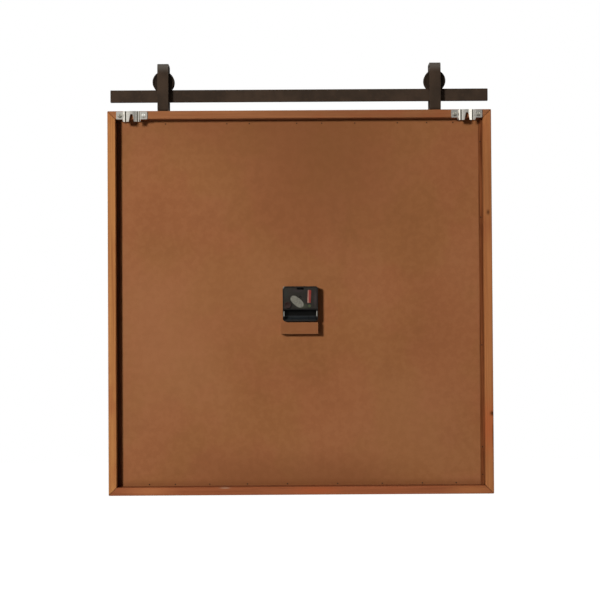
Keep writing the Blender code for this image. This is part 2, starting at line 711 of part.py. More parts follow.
def build_motion_works(mats):
    at = (0, 0, CENTRE_Z)
    to_wheel = math.atan2(WHEEL_UP, WHEEL_X)
    to_knob = math.atan2(KNOB_UP - WHEEL_UP, KNOB_X - WHEEL_X)
    wheel_phase = meshing_phase(0.0, CANNON_TEETH, to_wheel, MINUTE_TEETH)
    hour_phase = meshing_phase(wheel_phase, PINION_TEETH, to_wheel + math.pi, HOUR_TEETH)
    knob_phase = meshing_phase(wheel_phase, MINUTE_TEETH, to_knob, KNOB_TEETH)

    cannon = teeth_outline(CANNON_TEETH, 0.0)
    arbor = [
        (0, Y_ARBOR),
        (ARBOR_R, Y_ARBOR),
        (ARBOR_R, CANNON_Y[0]),
        (cannon, CANNON_Y[0]),
        (cannon, CANNON_Y[1]),
        (0.9, CANNON_Y[1]),
        (0.9, Y_COVER - 0.4),
        (0, Y_COVER - 0.4),
    ]
    bm = turned(arbor, tooth_angles(CANNON_TEETH, 0.0))
    add_object("minute_arbor", bm, mats["brass"], at, round_piece=True)

    hour = teeth_outline(HOUR_TEETH, hour_phase, root=0.5)
    hour_tube = [
        (1.85, Y_TUBE),
        (TUBE_R, Y_TUBE),
        (TUBE_R, HOUR_Y[0]),
        (hour, HOUR_Y[0]),
        (hour, HOUR_Y[1]),
        (1.85, HOUR_Y[1]),
    ]
    bm = turned(hour_tube, tooth_angles(HOUR_TEETH, hour_phase, (-0.09, 0.09, 0.5)))
    add_object("hour_wheel", bm, mats["white_plastic"], at, round_piece=True)

    pinion = teeth_outline(PINION_TEETH, wheel_phase)
    rim = teeth_outline(MINUTE_TEETH, wheel_phase, tip=0.125, root=0.375, rise=0.3, fall=0.65)
    minute_wheel = [
        (1.1, PINION_START),
        (pinion, PINION_START),
        (pinion, MINUTE_Y[0]),
        (rim, MINUTE_Y[0]),
        (rim, MINUTE_Y[1]),
        (1.1, MINUTE_Y[1]),
    ]
    count = 4 * MINUTE_TEETH
    bm = turned(minute_wheel, even_angles(count, wheel_phase + math.pi / count))
    place = (WHEEL_X, 0, CENTRE_Z + WHEEL_UP)
    add_object("minute_wheel", bm, mats["white_plastic"], place, round_piece=True)

    knob_teeth = teeth_outline(KNOB_TEETH, knob_phase)
    angles = tooth_angles(KNOB_TEETH, knob_phase)
    knurl = {angle: KNOB_R if i % 2 else KNOB_R - KNURL for i, angle in enumerate(angles)}
    knob = [
        (0, Y_FLOOR + GAP),
        (1.2, Y_FLOOR + GAP),
        (1.2, MINUTE_Y[0] - 0.4),
        (knob_teeth, MINUTE_Y[0] - 0.4),
        (knob_teeth, MINUTE_Y[1] + 0.4),
        (1.6, MINUTE_Y[1] + 0.4),
        (1.6, Y_CASE_REAR + GAP),
        (knurl.__getitem__, Y_CASE_REAR + GAP),
        (knurl.__getitem__, Y_CASE_REAR + 2.6),
        (KNOB_R - 0.8, Y_CASE_REAR + 3.0),
        (0, Y_CASE_REAR + 3.0),
    ]
    place = (KNOB_X, 0, CENTRE_Z + KNOB_UP)
    add_object("set_knob", turned(knob, angles), mats["black_plastic"], place, round_piece=True)


def build_electronics(mats):
    at = (0, 0, CENTRE_Z)
    board_y = (Y_FLOOR + 7.0, Y_FLOOR + 8.0)
    board = add_object("circuit_board", box(BOARD_X, board_y, BOARD_Z), mats["board_green"], at)
    chip = box(CHIP_X, (board_y[1] - 0.4, board_y[1] + 1.0), CHIP_Z)
    boolean(board, add_object("chip_guide", chip, None, at), "UNION")

    coil = [
        (0, -8.0),
        (3.2, -8.0),
        (3.2, -7.0),
        (2.7, -7.0),
        (2.7, 7.0),
        (3.2, 7.0),
        (3.2, 8.0),
        (0, 8.0),
    ]
    bm = turned(coil, even_angles(20))
    bmesh.ops.rotate(bm, verts=bm.verts, matrix=Matrix.Rotation(math.pi / 2, 3, "Z"))
    place = (ROTOR_X, Y_FLOOR + 7.0, CENTRE_Z + COIL_UP)
    add_object("coil", bm, mats["copper_wire"], place, round_piece=True)

    stator_y = (Y_FLOOR + 10.5, Y_FLOOR + 11.5)
    stator = add_object("stator", box(BOARD_X, stator_y, STATOR_Z), mats["zinc"], at)
    drill(stator, ROTOR_X, CENTRE_Z + ROTOR_UP, 4.0, (stator_y[0] - PAST, stator_y[1] + PAST))
    rotor = [
        (0, Y_FLOOR + GAP),
        (0.6, Y_FLOOR + GAP),
        (0.6, Y_FLOOR + 7.0),
        (1.4, Y_FLOOR + 7.0),
        (1.4, Y_FLOOR + 9.0),
        (3.4, Y_FLOOR + 9.6),
        (3.4, Y_COVER - 0.5),
        (0, Y_COVER - 0.5),
    ]
    place = (ROTOR_X, 0, CENTRE_Z + ROTOR_UP)
    add_object("rotor", turned(rotor, even_angles(18)), mats["zinc"], place, round_piece=True)


# Hands


def hand_outline(length, tail, width, eye):
    """A tapered hand that points up, round at its eye."""
    tip = width * 0.22
    start = math.degrees(math.asin(width * 0.36 / eye))
    right = [
        (width * 0.5, -tail),
        *arc(0, 0, eye, start - 90, 90 - start, 8),
        (width * 0.5, length * 0.62),
        (tip, length - 4),
        (0, length),
    ]
    left = [(-x, z) for x, z in reversed(right[:-1])]
    return right + left


def build_hands(mats):
    at = (0, 0, CENTRE_Z)
    black = mats["hand_black"]
    hands = (
        ("hour_hand", HOUR_SHAPE, Y_HOUR_HAND, HOUR_ANGLE, TUBE_R + GAP),
        ("minute_hand", MINUTE_SHAPE, Y_MINUTE_HAND, MINUTE_ANGLE, ARBOR_R + GAP),
    )
    for name, shape, y, angle, bore in hands:
        bm = extrusion(hand_outline(*shape), "Y", *y)
        hand = add_object(name, bm, black, at, turn=angle)
        drill(hand, 0, CENTRE_Z, bore, (y[0] - PAST, y[1] + PAST))
    cap = [
        (ARBOR_R + GAP, Y_MINUTE_HAND[0] - GAP),
        (4.2, Y_MINUTE_HAND[0] - GAP),
        (4.2, Y_MINUTE_HAND[0] - 1.8),
        (3.4, Y_MINUTE_HAND[0] - 3.2),
        (1.6, Y_MINUTE_HAND[0] - 3.9),
        (0, Y_MINUTE_HAND[0] - 4.0),
    ]
    hollow = [(0, Y_ARBOR - 0.5), (ARBOR_R + GAP, Y_ARBOR - 0.5)]
    stations = list(reversed(cap)) + list(reversed(hollow))
    add_object("hand_cap", turned(stations, even_angles(16)), black, at, round_piece=True)


def main():
    clear_scene()
    mats = finishes()
    build_frame(mats)
    build_panel(mats)
    build_planks(mats)
    build_hangers(mats)
    build_hardware(mats)
    build_case(mats)
    build_motion_works(mats)
    build_electronics(mats)
    build_hands(mats)


main()
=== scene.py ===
"""The looks of a square barn-door wall clock, lit and seen from its wall side.

Lengths are metres. +Z is up, +Y points at the wall and -Y at the room, and the camera stands on the wall
side. "left" and "right" are those of someone who faces the dial.
"""

import json
import math
import random

import bmesh
import bpy
from mathutils import Matrix, Vector


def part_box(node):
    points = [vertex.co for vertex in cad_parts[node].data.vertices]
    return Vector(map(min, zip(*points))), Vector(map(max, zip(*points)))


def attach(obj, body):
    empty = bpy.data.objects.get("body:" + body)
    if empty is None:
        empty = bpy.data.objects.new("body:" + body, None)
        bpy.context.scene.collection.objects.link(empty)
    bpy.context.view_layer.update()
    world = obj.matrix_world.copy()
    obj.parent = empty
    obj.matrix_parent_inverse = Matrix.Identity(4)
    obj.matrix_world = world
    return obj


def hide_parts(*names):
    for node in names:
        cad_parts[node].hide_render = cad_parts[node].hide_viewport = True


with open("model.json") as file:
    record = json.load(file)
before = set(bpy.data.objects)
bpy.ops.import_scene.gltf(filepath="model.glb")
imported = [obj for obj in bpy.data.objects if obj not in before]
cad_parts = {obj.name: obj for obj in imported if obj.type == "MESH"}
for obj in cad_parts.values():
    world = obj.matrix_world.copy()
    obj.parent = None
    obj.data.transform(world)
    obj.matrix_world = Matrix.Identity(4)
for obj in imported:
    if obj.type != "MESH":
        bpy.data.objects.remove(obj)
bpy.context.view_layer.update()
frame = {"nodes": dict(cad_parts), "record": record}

NODES = frame["nodes"]
ROOT = "clock_case"
GAP = 0.0003  # air between CAD pieces that touch

PANEL_LOW, PANEL_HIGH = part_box("back_panel")
CASE_LOW, CASE_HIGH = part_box("movement_case")
COVER_LOW, COVER_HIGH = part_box("movement_cover")
FRAME_LOW = Vector((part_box("frame_left")[0].x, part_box("frame_left")[0].y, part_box("frame_bottom")[0].z))
FRAME_HIGH = Vector((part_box("frame_right")[1].x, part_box("frame_top")[1].y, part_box("frame_top")[1].z))
CENTRE = (FRAME_LOW + FRAME_HIGH) / 2
ARBOR_Z = CENTRE.z
REAR = FRAME_HIGH.y


# ---- materials


def srgb(red, green, blue):
    """A linear colour from 8-bit screen values."""
    values = (red / 255, green / 255, blue / 255)
    return tuple(v / 12.92 if v < 0.04045 else ((v + 0.055) / 1.055) ** 2.4 for v in values)


def times(share, colour):
    return tuple(c * share for c in colour)


class Nodes:
    """A node tree, with short calls that add to it."""

    def __init__(self, tree):
        self.tree = tree

    def add(self, kind, inputs=(), **settings):
        """Add a node; `inputs` pairs an input's name or number with a socket, number or colour."""
        node = self.tree.nodes.new(kind)
        for key, value in settings.items():
            setattr(node, key, value)
        for key, value in inputs:
            self.feed(node.inputs[key], value)
        return node

    def feed(self, socket, value):
        """Link a socket, or set a number or colour on an input."""
        if isinstance(value, bpy.types.NodeSocket):
            self.tree.links.new(value, socket)
        elif isinstance(value, tuple) and len(value) == 3 and socket.type == "RGBA":
            socket.default_value = (*value, 1.0)
        else:
            socket.default_value = value

    def math(self, operation, a, b=0.0):
        return self.add("ShaderNodeMath", ((0, a), (1, b)), operation=operation).outputs[0]

    def mix(self, share, a, b):
        return self.add("ShaderNodeMix", ((0, share), (6, a), (7, b)), data_type="RGBA").outputs[2]


class Surface(Nodes):
    """A Principled material and the nodes that drive it."""

    def __init__(self, name, rough=0.5, metal=0.0, specular=0.5):
        self.mat = bpy.data.materials.new(name)
        self.mat.use_nodes = True
        super().__init__(self.mat.node_tree)
        self.set((("Roughness", rough), ("Metallic", metal), ("Specular IOR Level", specular)))
        self.place = self.add("ShaderNodeTexCoord").outputs["Object"]
        self.normal = None

    def set(self, inputs):
        """Set or link inputs of the shader, where there is a value for them."""
        for name, value in inputs:
            if value is not None:
                self.feed(self.tree.nodes["Principled BSDF"].inputs[name], value)

    def stretched(self, size, shift=0.0):
        """Object coordinates in units of a feature's size; both values are one number or three."""
        size, shift = (v if isinstance(v, tuple) else (v, v, v) for v in (size, shift))
        scale = [1.0 / s for s in size]
        inputs = (("Vector", self.place), ("Scale", scale), ("Location", shift))
        return self.add("ShaderNodeMapping", inputs, vector_type="POINT").outputs["Vector"]

    def noise(self, size, detail=4.0, rough=0.55, distort=0.0, shift=0.0):
        inputs = (("Vector", self.stretched(size, shift)), ("Scale", 1.0), ("Detail", detail))
        inputs += (("Roughness", rough), ("Distortion", distort))
        return self.add("ShaderNodeTexNoise", inputs).outputs["Fac"]

    def cells(self, size, randomness=1.0):
        inputs = (("Vector", self.stretched(size)), ("Scale", 1.0), ("Randomness", randomness))
        return self.add("ShaderNodeTexVoronoi", inputs).outputs["Distance"]

    def remap(self, value, low, high, to_low=0.0, to_high=1.0):
        inputs = (("Value", value), ("From Min", low), ("From Max", high))
        inputs += (("To Min", to_low), ("To Max", to_high))
        return self.add("ShaderNodeMapRange", inputs, interpolation_type="SMOOTHSTEP").outputs["Result"]

    def axis(self, name):
        """One object coordinate."""
        return self.add("ShaderNodeSeparateXYZ", ((0, self.place),)).outputs[name]

    def tint(self, colour, tone, value, low, high, most):
        """Mix a tone into a colour, from none where a value is `low` to `most` where it is `high`."""
        return self.mix(self.remap(value, low, high, 0.0, most), colour, tone)

    def spots(self, colour, rows):
        """Stain places that fade out softly; a row is (centre, reach along X, Y and Z, tone, amount)."""
        for centre, reach, tone, amount in rows:
            way = self.stretched(reach, tuple(-c / r for c, r in zip(centre, reach)))
            away = self.add("ShaderNodeVectorMath", ((0, way),), operation="LENGTH").outputs["Value"]
            colour = self.mix(self.remap(away, 0.0, 1.0, amount, 0.0), colour, tone)
        return colour

    def worn(self, colour, tone, radius, amount):
        """Mix a tone in along edges that stand out, over about a radius."""
        round_over = self.add("ShaderNodeBevel", (("Radius", radius),), samples=6).outputs["Normal"]
        normal = self.add("ShaderNodeNewGeometry").outputs["Normal"]
        dot = self.add("ShaderNodeVectorMath", ((0, round_over), (1, normal)), operation="DOT_PRODUCT")
        return self.tint(colour, tone, self.math("SUBTRACT", 1.0, dot.outputs["Value"]), 0.02, 0.25, amount)

    def bump(self, height, distance, strength=1.0):
        """Stack a bump; `distance` is the relief in metres."""
        inputs = (("Strength", strength), ("Distance", distance), ("Height", height))
        if self.normal is not None:
            inputs += (("Normal", self.normal),)
        self.normal = self.add("ShaderNodeBump", inputs).outputs["Normal"]

    def finish(self, colour, rough=None):
        self.set((("Base Color", colour), ("Roughness", rough), ("Normal", self.normal)))
        return self.mat


def along(axis, length, across):
    """Feature size of something that runs along X, Y or Z."""
    return tuple(length if name == axis else across for name in "XYZ")


def stained_wood(name, axis, pale, deep, shift=0.0, marks=()):
    """Orange-brown stained softwood: fine streaks along the grain, reddish patches, single marks and broad
    painted shade.
    """
    s = Surface(name, specular=0.08)
    streak = s.noise(along(axis, 0.16, 0.0017), detail=5, rough=0.6, distort=0.25, shift=shift)
    band = s.noise(along(axis, 0.30, 0.009), detail=3, distort=0.6, shift=shift)
    cloud = s.noise(along(axis, 0.075, 0.03), detail=2, shift=shift)
    pore = s.noise(along(axis, 0.012, 0.0007), detail=2, shift=shift)
    colour = s.mix(s.remap(streak, 0.30, 0.62, 0.35, 1.0), deep, pale)
    colour = s.tint(colour, deep, band, 0.54, 0.74, 0.40)
    colour = s.tint(colour, srgb(148, 82, 52), cloud, 0.50, 0.68, 0.40)
    colour = s.tint(colour, times(0.4, deep), pore, 0.62, 0.74, 0.30)
    colour = s.spots(colour, marks)
    colour = s.worn(colour, srgb(128, 92, 66), 0.0011, 0.5)
    s.bump(streak, 0.00012, 0.5)
    s.bump(pore, 0.00008, 0.6)
    return s.finish(colour, s.remap(streak, 0.3, 0.7, 0.55, 0.42))


PAINT_PALE = srgb(157, 108, 74)
PAINT_DEEP = srgb(117, 73, 44)
SPRAY_AND_SHADE_PASSES = (  # across and up from the panel's middle, reach both ways, tone, amount
    # painted shade: the upper middle of the panel darker
    (-0.045, 0.245, 0.24, 0.260, PAINT_DEEP, 0.60),
    (0.070, -0.285, 0.20, 0.075, PAINT_DEEP, 0.45),
    (-0.075, -0.285, 0.16, 0.065, PAINT_DEEP, 0.45),
    (0.220, -0.060, 0.17, 0.220, PAINT_PALE, 0.40),
    (0.060, 0.015, 0.10, 0.120, PAINT_PALE, 0.25),
    (-0.170, -0.190, 0.12, 0.120, PAINT_PALE, 0.22),
    # painted shade: a darker band along the top, under the top member
    (0.120, 0.300, 0.30, 0.110, PAINT_DEEP, 0.40),
)


def sprayed_paint(name, seed=0.0):
    """Brown paint sprayed by hand on board: cloudy, with grit in it and a faint orange peel."""
    s = Surface(name, specular=0.06)
    cloud = s.noise(0.16, detail=3, rough=0.5, shift=seed)
    drift = s.noise(0.05, detail=3, rough=0.6)
    grit = s.noise(0.0006, detail=2)
    peel = s.noise(0.0022, detail=2)
    mottle = s.noise(0.012, detail=2, rough=0.6)
    hue = s.noise(0.10, detail=2, shift=(seed + 5.0, seed, seed + 2.0))
    colour = s.mix(s.remap(hue, 0.40, 0.60), srgb(147, 94, 61), srgb(144, 95, 59))
    colour = s.tint(colour, PAINT_PALE, cloud, 0.40, 0.66, 0.20)
    colour = s.tint(colour, PAINT_DEEP, cloud, 0.50, 0.34, 0.12)
    colour = s.tint(colour, PAINT_DEEP, drift, 0.50, 0.68, 0.14)
    colour = s.tint(colour, PAINT_DEEP, mottle, 0.42, 0.62, 0.12)
    colour = s.tint(colour, PAINT_PALE, mottle, 0.52, 0.36, 0.12)
    return s, colour, grit, peel


def back_panel_material():
    """The panel's paint: the spray's darker and lighter passes, with painted shade over its top and along
    its low edge.
    """
    s, colour, grit, peel = sprayed_paint("panel_paint")
    y = PANEL_HIGH.y
    passes = [((x, y, CENTRE.z + z), (a, 1.0, b), *rest) for x, z, a, b, *rest in SPRAY_AND_SHADE_PASSES]
    colour = s.spots(colour, passes)
    # painted shade: the paint darkens towards the bottom member, in the corner where shade falls
    low_edge_shade = s.remap(s.axis("Z"), PANEL_LOW.z + 0.001, PANEL_LOW.z + 0.013, 0.55, 0.0)
    colour = s.mix(low_edge_shade, colour, PAINT_DEEP)
    colour = s.tint(colour, times(0.55, PAINT_DEEP), grit, 0.58, 0.74, 0.30)
    s.bump(peel, 0.00006, 0.5)
    s.bump(grit, 0.00003, 0.5)
    return s.finish(colour, s.remap(grit, 0.3, 0.7, 0.62, 0.5))


def block_material():
    s, colour, grit, peel = sprayed_paint("block_paint", 3.7)
    colour = s.mix(0.45, colour, PAINT_DEEP)
    colour = s.worn(colour, srgb(178, 128, 92), 0.0012, 0.8)
    s.bump(s.noise(along("X", 0.03, 0.0012), detail=3), 0.00008, 0.6)
    s.bump(peel, 0.00006, 0.5)
    return s.finish(colour, s.remap(grit, 0.3, 0.7, 0.6, 0.5))


def plank_wood(name, number):
    """Weathered plank: grey-brown with cathedral grain, darker knots and sawn scuffs."""
    rng = random.Random(40 + number)
    s = Surface(name, specular=0.3)
    shift = (number * 7.3, 0.0, number * 3.1)
    ring = s.noise(along("Z", 0.26, 0.011), detail=3, distort=1.2, shift=shift)
    lines = s.math("SINE", s.math("MULTIPLY", ring, 95.0))
    fibre = s.noise(along("Z", 0.05, 0.0011), detail=4, shift=shift)
    cloud = s.noise((0.06, 0.06, 0.16), detail=3, shift=shift)
    warm = rng.uniform(0.9, 1.12)
    pale = times(warm, srgb(170, 138, 104))
    mid = times(warm, srgb(132, 98, 68))
    deep = srgb(74, 50, 33)
    colour = s.mix(s.remap(fibre, 0.34, 0.66), mid, pale)
    colour = s.tint(colour, deep, lines, 0.35, 0.95, 0.5)
    colour = s.tint(colour, srgb(112, 96, 82), cloud, 0.48, 0.70, 0.45)
    low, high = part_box(name)
    for _ in range(2):
        x = rng.uniform(low.x + 0.02, high.x - 0.02)
        z = rng.uniform(low.z + 0.05, high.z - 0.05)
        colour = s.spots(colour, [((x, low.y, z), (0.008, 1.0, 0.013), srgb(46, 29, 19), 0.85)])
    colour = s.worn(colour, deep, 0.0016, 0.4)
    s.bump(lines, 0.00015, 0.35)
    s.bump(fibre, 0.0002, 0.6)
    return s.finish(colour, s.remap(fibre, 0.3, 0.7, 0.8, 0.62))


def batten_wood(name, shade):
    s = Surface(name, specular=0.06)
    tone = lambda *rgb: times(shade, srgb(*rgb))
    streak = s.noise(along("Z", 0.10, 0.0013), detail=4, distort=0.3)
    cloud = s.noise(along("Z", 0.05, 0.02), detail=2)
    colour = s.mix(s.remap(streak, 0.35, 0.65), tone(90, 49, 27), tone(128, 76, 44))
    colour = s.tint(colour, tone(74, 36, 18), cloud, 0.5, 0.7, 0.4)
    s.bump(streak, 0.0001, 0.5)
    return s.finish(colour, s.remap(streak, 0.3, 0.7, 0.6, 0.5))


def bronze_coat(name="bronze_coat", shade=1.0, top_highlight_z=None):
    """Dark bronze powder coat: fine orange peel, brown dust, paler on worn edges, with a painted highlight
    round a bend.
    """
    tone = lambda *rgb: times(shade, srgb(*rgb))
    s = Surface(name, specular=0.08)
    peel = s.noise(0.0012, detail=3)
    cloud = s.noise((0.035, 0.035, 0.05), detail=3)
    dust = s.noise(0.0035, detail=4)
    colour = s.mix(s.remap(cloud, 0.38, 0.66), tone(52, 43, 36), tone(64, 52, 43))
    colour = s.tint(colour, tone(78, 60, 47), dust, 0.56, 0.72, 0.35)
    if top_highlight_z is not None:
        # painted highlight: paler grey round the bend at the top, where it faces the light from above
        colour = s.tint(colour, tone(95, 91, 86), s.axis("Z"), top_highlight_z - 0.016, top_highlight_z - 0.003, 0.75)
    colour = s.worn(colour, tone(100, 84, 68), 0.0007, 0.40)
    s.bump(peel, 0.00005, 0.55)
    return s.finish(colour, s.remap(peel, 0.3, 0.7, 0.64, 0.52))


def bright_zinc(name="bright_zinc", tint=(222, 217, 206), rough=0.10, stain=0.35, shaded_grooves=()):
    """Bright plated steel: faint spangle, rolling lines, dull specks and painted shade in the sheet's
    pressed creases.
    """
    s = Surface(name, metal=1.0, rough=rough)
    spangle = s.cells(0.0030)
    line = s.noise((0.03, 0.0004, 0.0004), detail=3)
    speck = s.noise(0.0012, detail=3)
    base = srgb(*tint)
    colour = s.tint(base, times(0.7, base), spangle, 0.15, 0.8, stain)
    colour = s.tint(colour, srgb(122, 116, 100), speck, 0.56, 0.70, stain)
    # painted shade along the pressed creases of the hanger
    groove_shade = srgb(66, 62, 44)
    colour = s.spots(colour, [((x, 0.0, 0.0), (0.0017, 1.0, 1.0), groove_shade, 0.9) for x in shaded_grooves])
    s.bump(line, 0.000003, 0.3)
    s.bump(spangle, 0.000006, 0.3)
    return s.finish(colour, s.remap(speck, 0.35, 0.7, rough, rough + 0.08))


def moulded(name, colour, rough=0.42, grain=0.0006, specular=0.5, stains_and_glints=()):
    """Moulded plastic: fine spark-eroded texture, faint handling marks, worn rims, stained places and
    painted highlights.
    """
    s = Surface(name, specular=specular)
    texture = s.noise(grain, detail=2)
    smear = s.noise(0.012, detail=4, distort=0.5)
    worn = tuple(min(c * 1.7 + 0.004, 1.0) for c in colour)
    tone = s.tint(colour, worn, smear, 0.50, 0.72, 0.35)
    tone = s.spots(tone, stains_and_glints)
    tone = s.worn(tone, worn, 0.0004, 0.3)
    s.bump(texture, 0.00002, 0.6)
    return s.finish(tone, s.remap(smear, 0.35, 0.7, rough, rough + 0.14))


def turned_brass():
    s = Surface("turned_brass", metal=1.0)
    line = s.noise((0.02, 0.0002, 0.02), detail=2)
    tarnish = s.noise(0.004, detail=4)
    colour = s.mix(s.remap(tarnish, 0.45, 0.72, 0.0, 0.6), srgb(214, 176, 104), srgb(150, 110, 62))
    s.bump(line, 0.00002, 0.5)
    return s.finish(colour, s.remap(tarnish, 0.4, 0.7, 0.24, 0.4))


def wound_copper():
    s = Surface("wound_copper", metal=0.7)
    turns = s.math("SINE", s.math("MULTIPLY", s.axis("X"), 2 * math.pi / 0.0002))
    colour = s.mix(s.remap(turns, -1.0, 1.0), srgb(120, 52, 26), srgb(206, 116, 66))
    s.bump(turns, 0.00003, 0.6)
    return s.finish(colour, 0.35)


def lacquer_black():
    s = Surface("lacquer_black")
    speck = s.noise(0.0016, detail=3)
    smear = s.noise((0.02, 0.004, 0.02), detail=3)
    colour = s.mix(s.remap(smear, 0.45, 0.7), srgb(24, 22, 21), srgb(40, 37, 34))
    colour = s.worn(colour, srgb(104, 98, 92), 0.0004, 0.5)
    s.bump(speck, 0.00003, 0.5)
    return s.finish(colour, s.remap(speck, 0.3, 0.7, 0.5, 0.36))


def worn_paint(name, colour, under):
    """Number paint sanded back so that the plank shows through."""
    s = Surface(name, specular=0.3)
    wear = s.noise((0.006, 0.006, 0.022), detail=5, rough=0.7)
    grain = s.noise((0.0012, 0.01, 0.03), detail=3)
    rubbed = s.math("MAXIMUM", s.remap(wear, 0.56, 0.64), s.remap(grain, 0.63, 0.70, 0.0, 0.9))
    s.bump(grain, 0.00008, 0.5)
    return s.finish(s.mix(rubbed, colour, under), 0.7)


def printed_foil(name, base, ink, split_x, split_low):
    """A small foil label: two tones split along its length, with a slight crease."""
    s = Surface(name)
    fade = s.noise(0.004, detail=4)
    share = s.remap(s.axis("X"), split_low, split_low + split_x)
    tone = s.mix(share, ink, base)
    tone = s.tint(tone, times(0.6, base), fade, 0.5, 0.75, 0.5)
    s.bump(fade, 0.00008, 0.5)
    return s.finish(tone, s.remap(fade, 0.3, 0.7, 0.5, 0.35))


def foam():
    s = Surface("foam_rubber", specular=0.2)
    pit = s.cells(0.0008)
    colour = s.mix(s.remap(pit, 0.1, 0.7), srgb(18, 18, 18), srgb(42, 41, 40))
    s.bump(pit, 0.0002, 0.8)
    return s.finish(colour, 0.95)


def circuit_green():
    s = Surface("circuit_green")
    track = s.cells(0.0016, randomness=0.2)
    colour = s.mix(s.remap(track, 0.30, 0.36), srgb(34, 98, 58), srgb(22, 66, 40))
    s.bump(track, 0.00004, 0.5)
    return s.finish(colour, 0.4)


# ---- mesh helpers


def in_scene(name, data):
    """A new object in the scene; `data` may be a bmesh in metres, which is used up."""
    if isinstance(data, bmesh.types.BMesh):
        mesh = bpy.data.meshes.new(name)
        data.to_mesh(mesh)
        data.free()
        data = mesh
    obj = bpy.data.objects.new(name, data)
    bpy.context.scene.collection.objects.link(obj)
    return obj


def smooth_shade(mesh, degrees):
    """Smooth shading, with an edge kept sharp where its faces meet at more than an angle."""
    mesh.shade_smooth()
    mesh.set_sharp_from_angle(angle=math.radians(degrees))


def link(name, bm, mat, body=ROOT, smooth=30.0, bevel=0.0, segments=2, replaced=()):
    """Make a piece from a bmesh, dress it and let it ride."""
    bmesh.ops.recalc_face_normals(bm, faces=bm.faces)
    obj = in_scene(name, bm)
    smooth_shade(obj.data, smooth)
    obj.data.materials.append(mat)
    if bevel:
        mod = obj.modifiers.new("soft edges", "BEVEL")
        mod.width = bevel
        mod.segments = segments
        mod.limit_method = "ANGLE"
        mod.angle_limit = math.radians(35)
        mod.harden_normals = True
    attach(obj, body)
    if replaced:
        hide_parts(*replaced)
    return obj


def settle(obj):
    """Keep large flat faces flat in shading after cuts."""
    mod = obj.modifiers.new("flat faces", "WEIGHTED_NORMAL")
    mod.keep_sharp = True
    mod.weight = 100


def skin(bm, rings):
    """Add the side faces between one ring of vertices and the next."""
    for first, second in zip(rings, rings[1:]):
        for i in range(len(first)):
            j = (i + 1) % len(first)
            bm.faces.new((first[i], first[j], second[j], second[i]))


def softened(outline, place, low, high, width, segments):
    """A closed prism whose rims are rounded."""
    bm = prism(outline, place, low, high)
    bmesh.ops.recalc_face_normals(bm, faces=bm.faces)
    rims = [e for e in bm.edges if e.calc_face_angle() > math.radians(50)]
    bmesh.ops.bevel(bm, geom=rims, offset=width, segments=segments, profile=0.5, affect="EDGES")
    return bm


def flared(outline, place, low, high, flare, grow):
    """A cutter whose outline grows towards its `high` end, so that the cut has a chamfered rim."""
    bm = bmesh.new()
    mid_a, mid_b = (sum(values) / len(outline) for values in zip(*outline))
    rings = []
    for depth, extra in ((low, 0.0), (high - flare, 0.0), (high, grow), (high + flare, grow)):
        ring = []
        for a, b in outline:
            shift = [math.copysign(extra, d) if abs(d) > 1e-9 else 0.0 for d in (a - mid_a, b - mid_b)]
            ring.append(bm.verts.new(place(a + shift[0], b + shift[1], depth)))
        rings.append(ring)
    skin(bm, rings)
    bm.faces.new(rings[0])
    bm.faces.new(rings[-1])
    return bm


def body_of_node(node):
    return next(b for b, members in frame["record"]["behaviour"]["bodies"].items() if node in members)


def slot_of_node(node):
    return next(s["material_slot"] for s in frame["record"]["subparts"] if s["node"] == node)


def clean_copy(node):
    """The CAD node's mesh as a bmesh, its coplanar triangles joined."""
    bm = bmesh.new()
    bm.from_mesh(NODES[node].data)
    bmesh.ops.remove_doubles(bm, verts=bm.verts, dist=1e-6)
    bmesh.ops.dissolve_limit(bm, angle_limit=math.radians(1), verts=bm.verts, edges=bm.edges)
    return bm


def refined(node, mat, width, segments=2):
    """A CAD node's shape with rounded edges, in place of the node."""
    slot, body = slot_of_node(node), body_of_node(node)
    link(f"{node}_fine", clean_copy(node), mat, body, 30.0, width, segments, (node,))


def extrude(bm, outline, place, low, high):
    """Add a closed prism; `place(a, b, t)` puts an outline point at depth t."""
    rings = [[bm.verts.new(place(a, b, t)) for a, b in outline] for t in (low, high)]
    for ring in rings:
        bm.faces.new(ring)
    skin(bm, rings)


def prism(outline, place, low, high):
    bm = bmesh.new()
    extrude(bm, outline, place, low, high)
    return bm


def facing_wall(centre, turn=0.0):
    """Place for outlines drawn as (across, up) round a point, in a plane that faces the wall."""
    c, s = math.cos(turn), math.sin(turn)
    return lambda a, b, t: (centre.x + a * c - b * s, t, centre.z + a * s + b * c)


def arc(a, b, radius, start, end, steps):
    angles = [math.radians(start + (end - start) * i / steps) for i in range(steps + 1)]
    return [(a + radius * math.cos(t), b + radius * math.sin(t)) for t in angles]


def rounded(half_a, half_b, radius, steps=6, low_radius=None):
    """A rounded rectangle round the origin; its lower corners may have a radius of their own."""
    points = []
    for side_a, side_b, start in ((1, 1, 0), (-1, 1, 90), (-1, -1, 180), (1, -1, 270)):
        r = low_radius if low_radius and side_b < 0 else radius
        points += arc(side_a * (half_a - r), side_b * (half_b - r), r, start, start + 90, steps)
    return points


def upright(half, low, high):
    """A rectangle as wide on both sides of the middle."""
    return [(half, low), (half, high), (-half, high), (-half, low)]


def ellipse(half_a, half_b, steps):
    turns = [2 * math.pi * i / steps for i in range(steps)]
    return [(half_a * math.cos(t), half_b * math.sin(t)) for t in turns]


def pebble(half_a, half_b, power):
    """An outline between an ellipse (power 2) and a rectangle."""
    swell = lambda half, v: half * math.copysign(abs(v) ** (2 / power), v)
    return [(swell(half_a, c), swell(half_b, s)) for c, s in ellipse(1.0, 1.0, 48)]


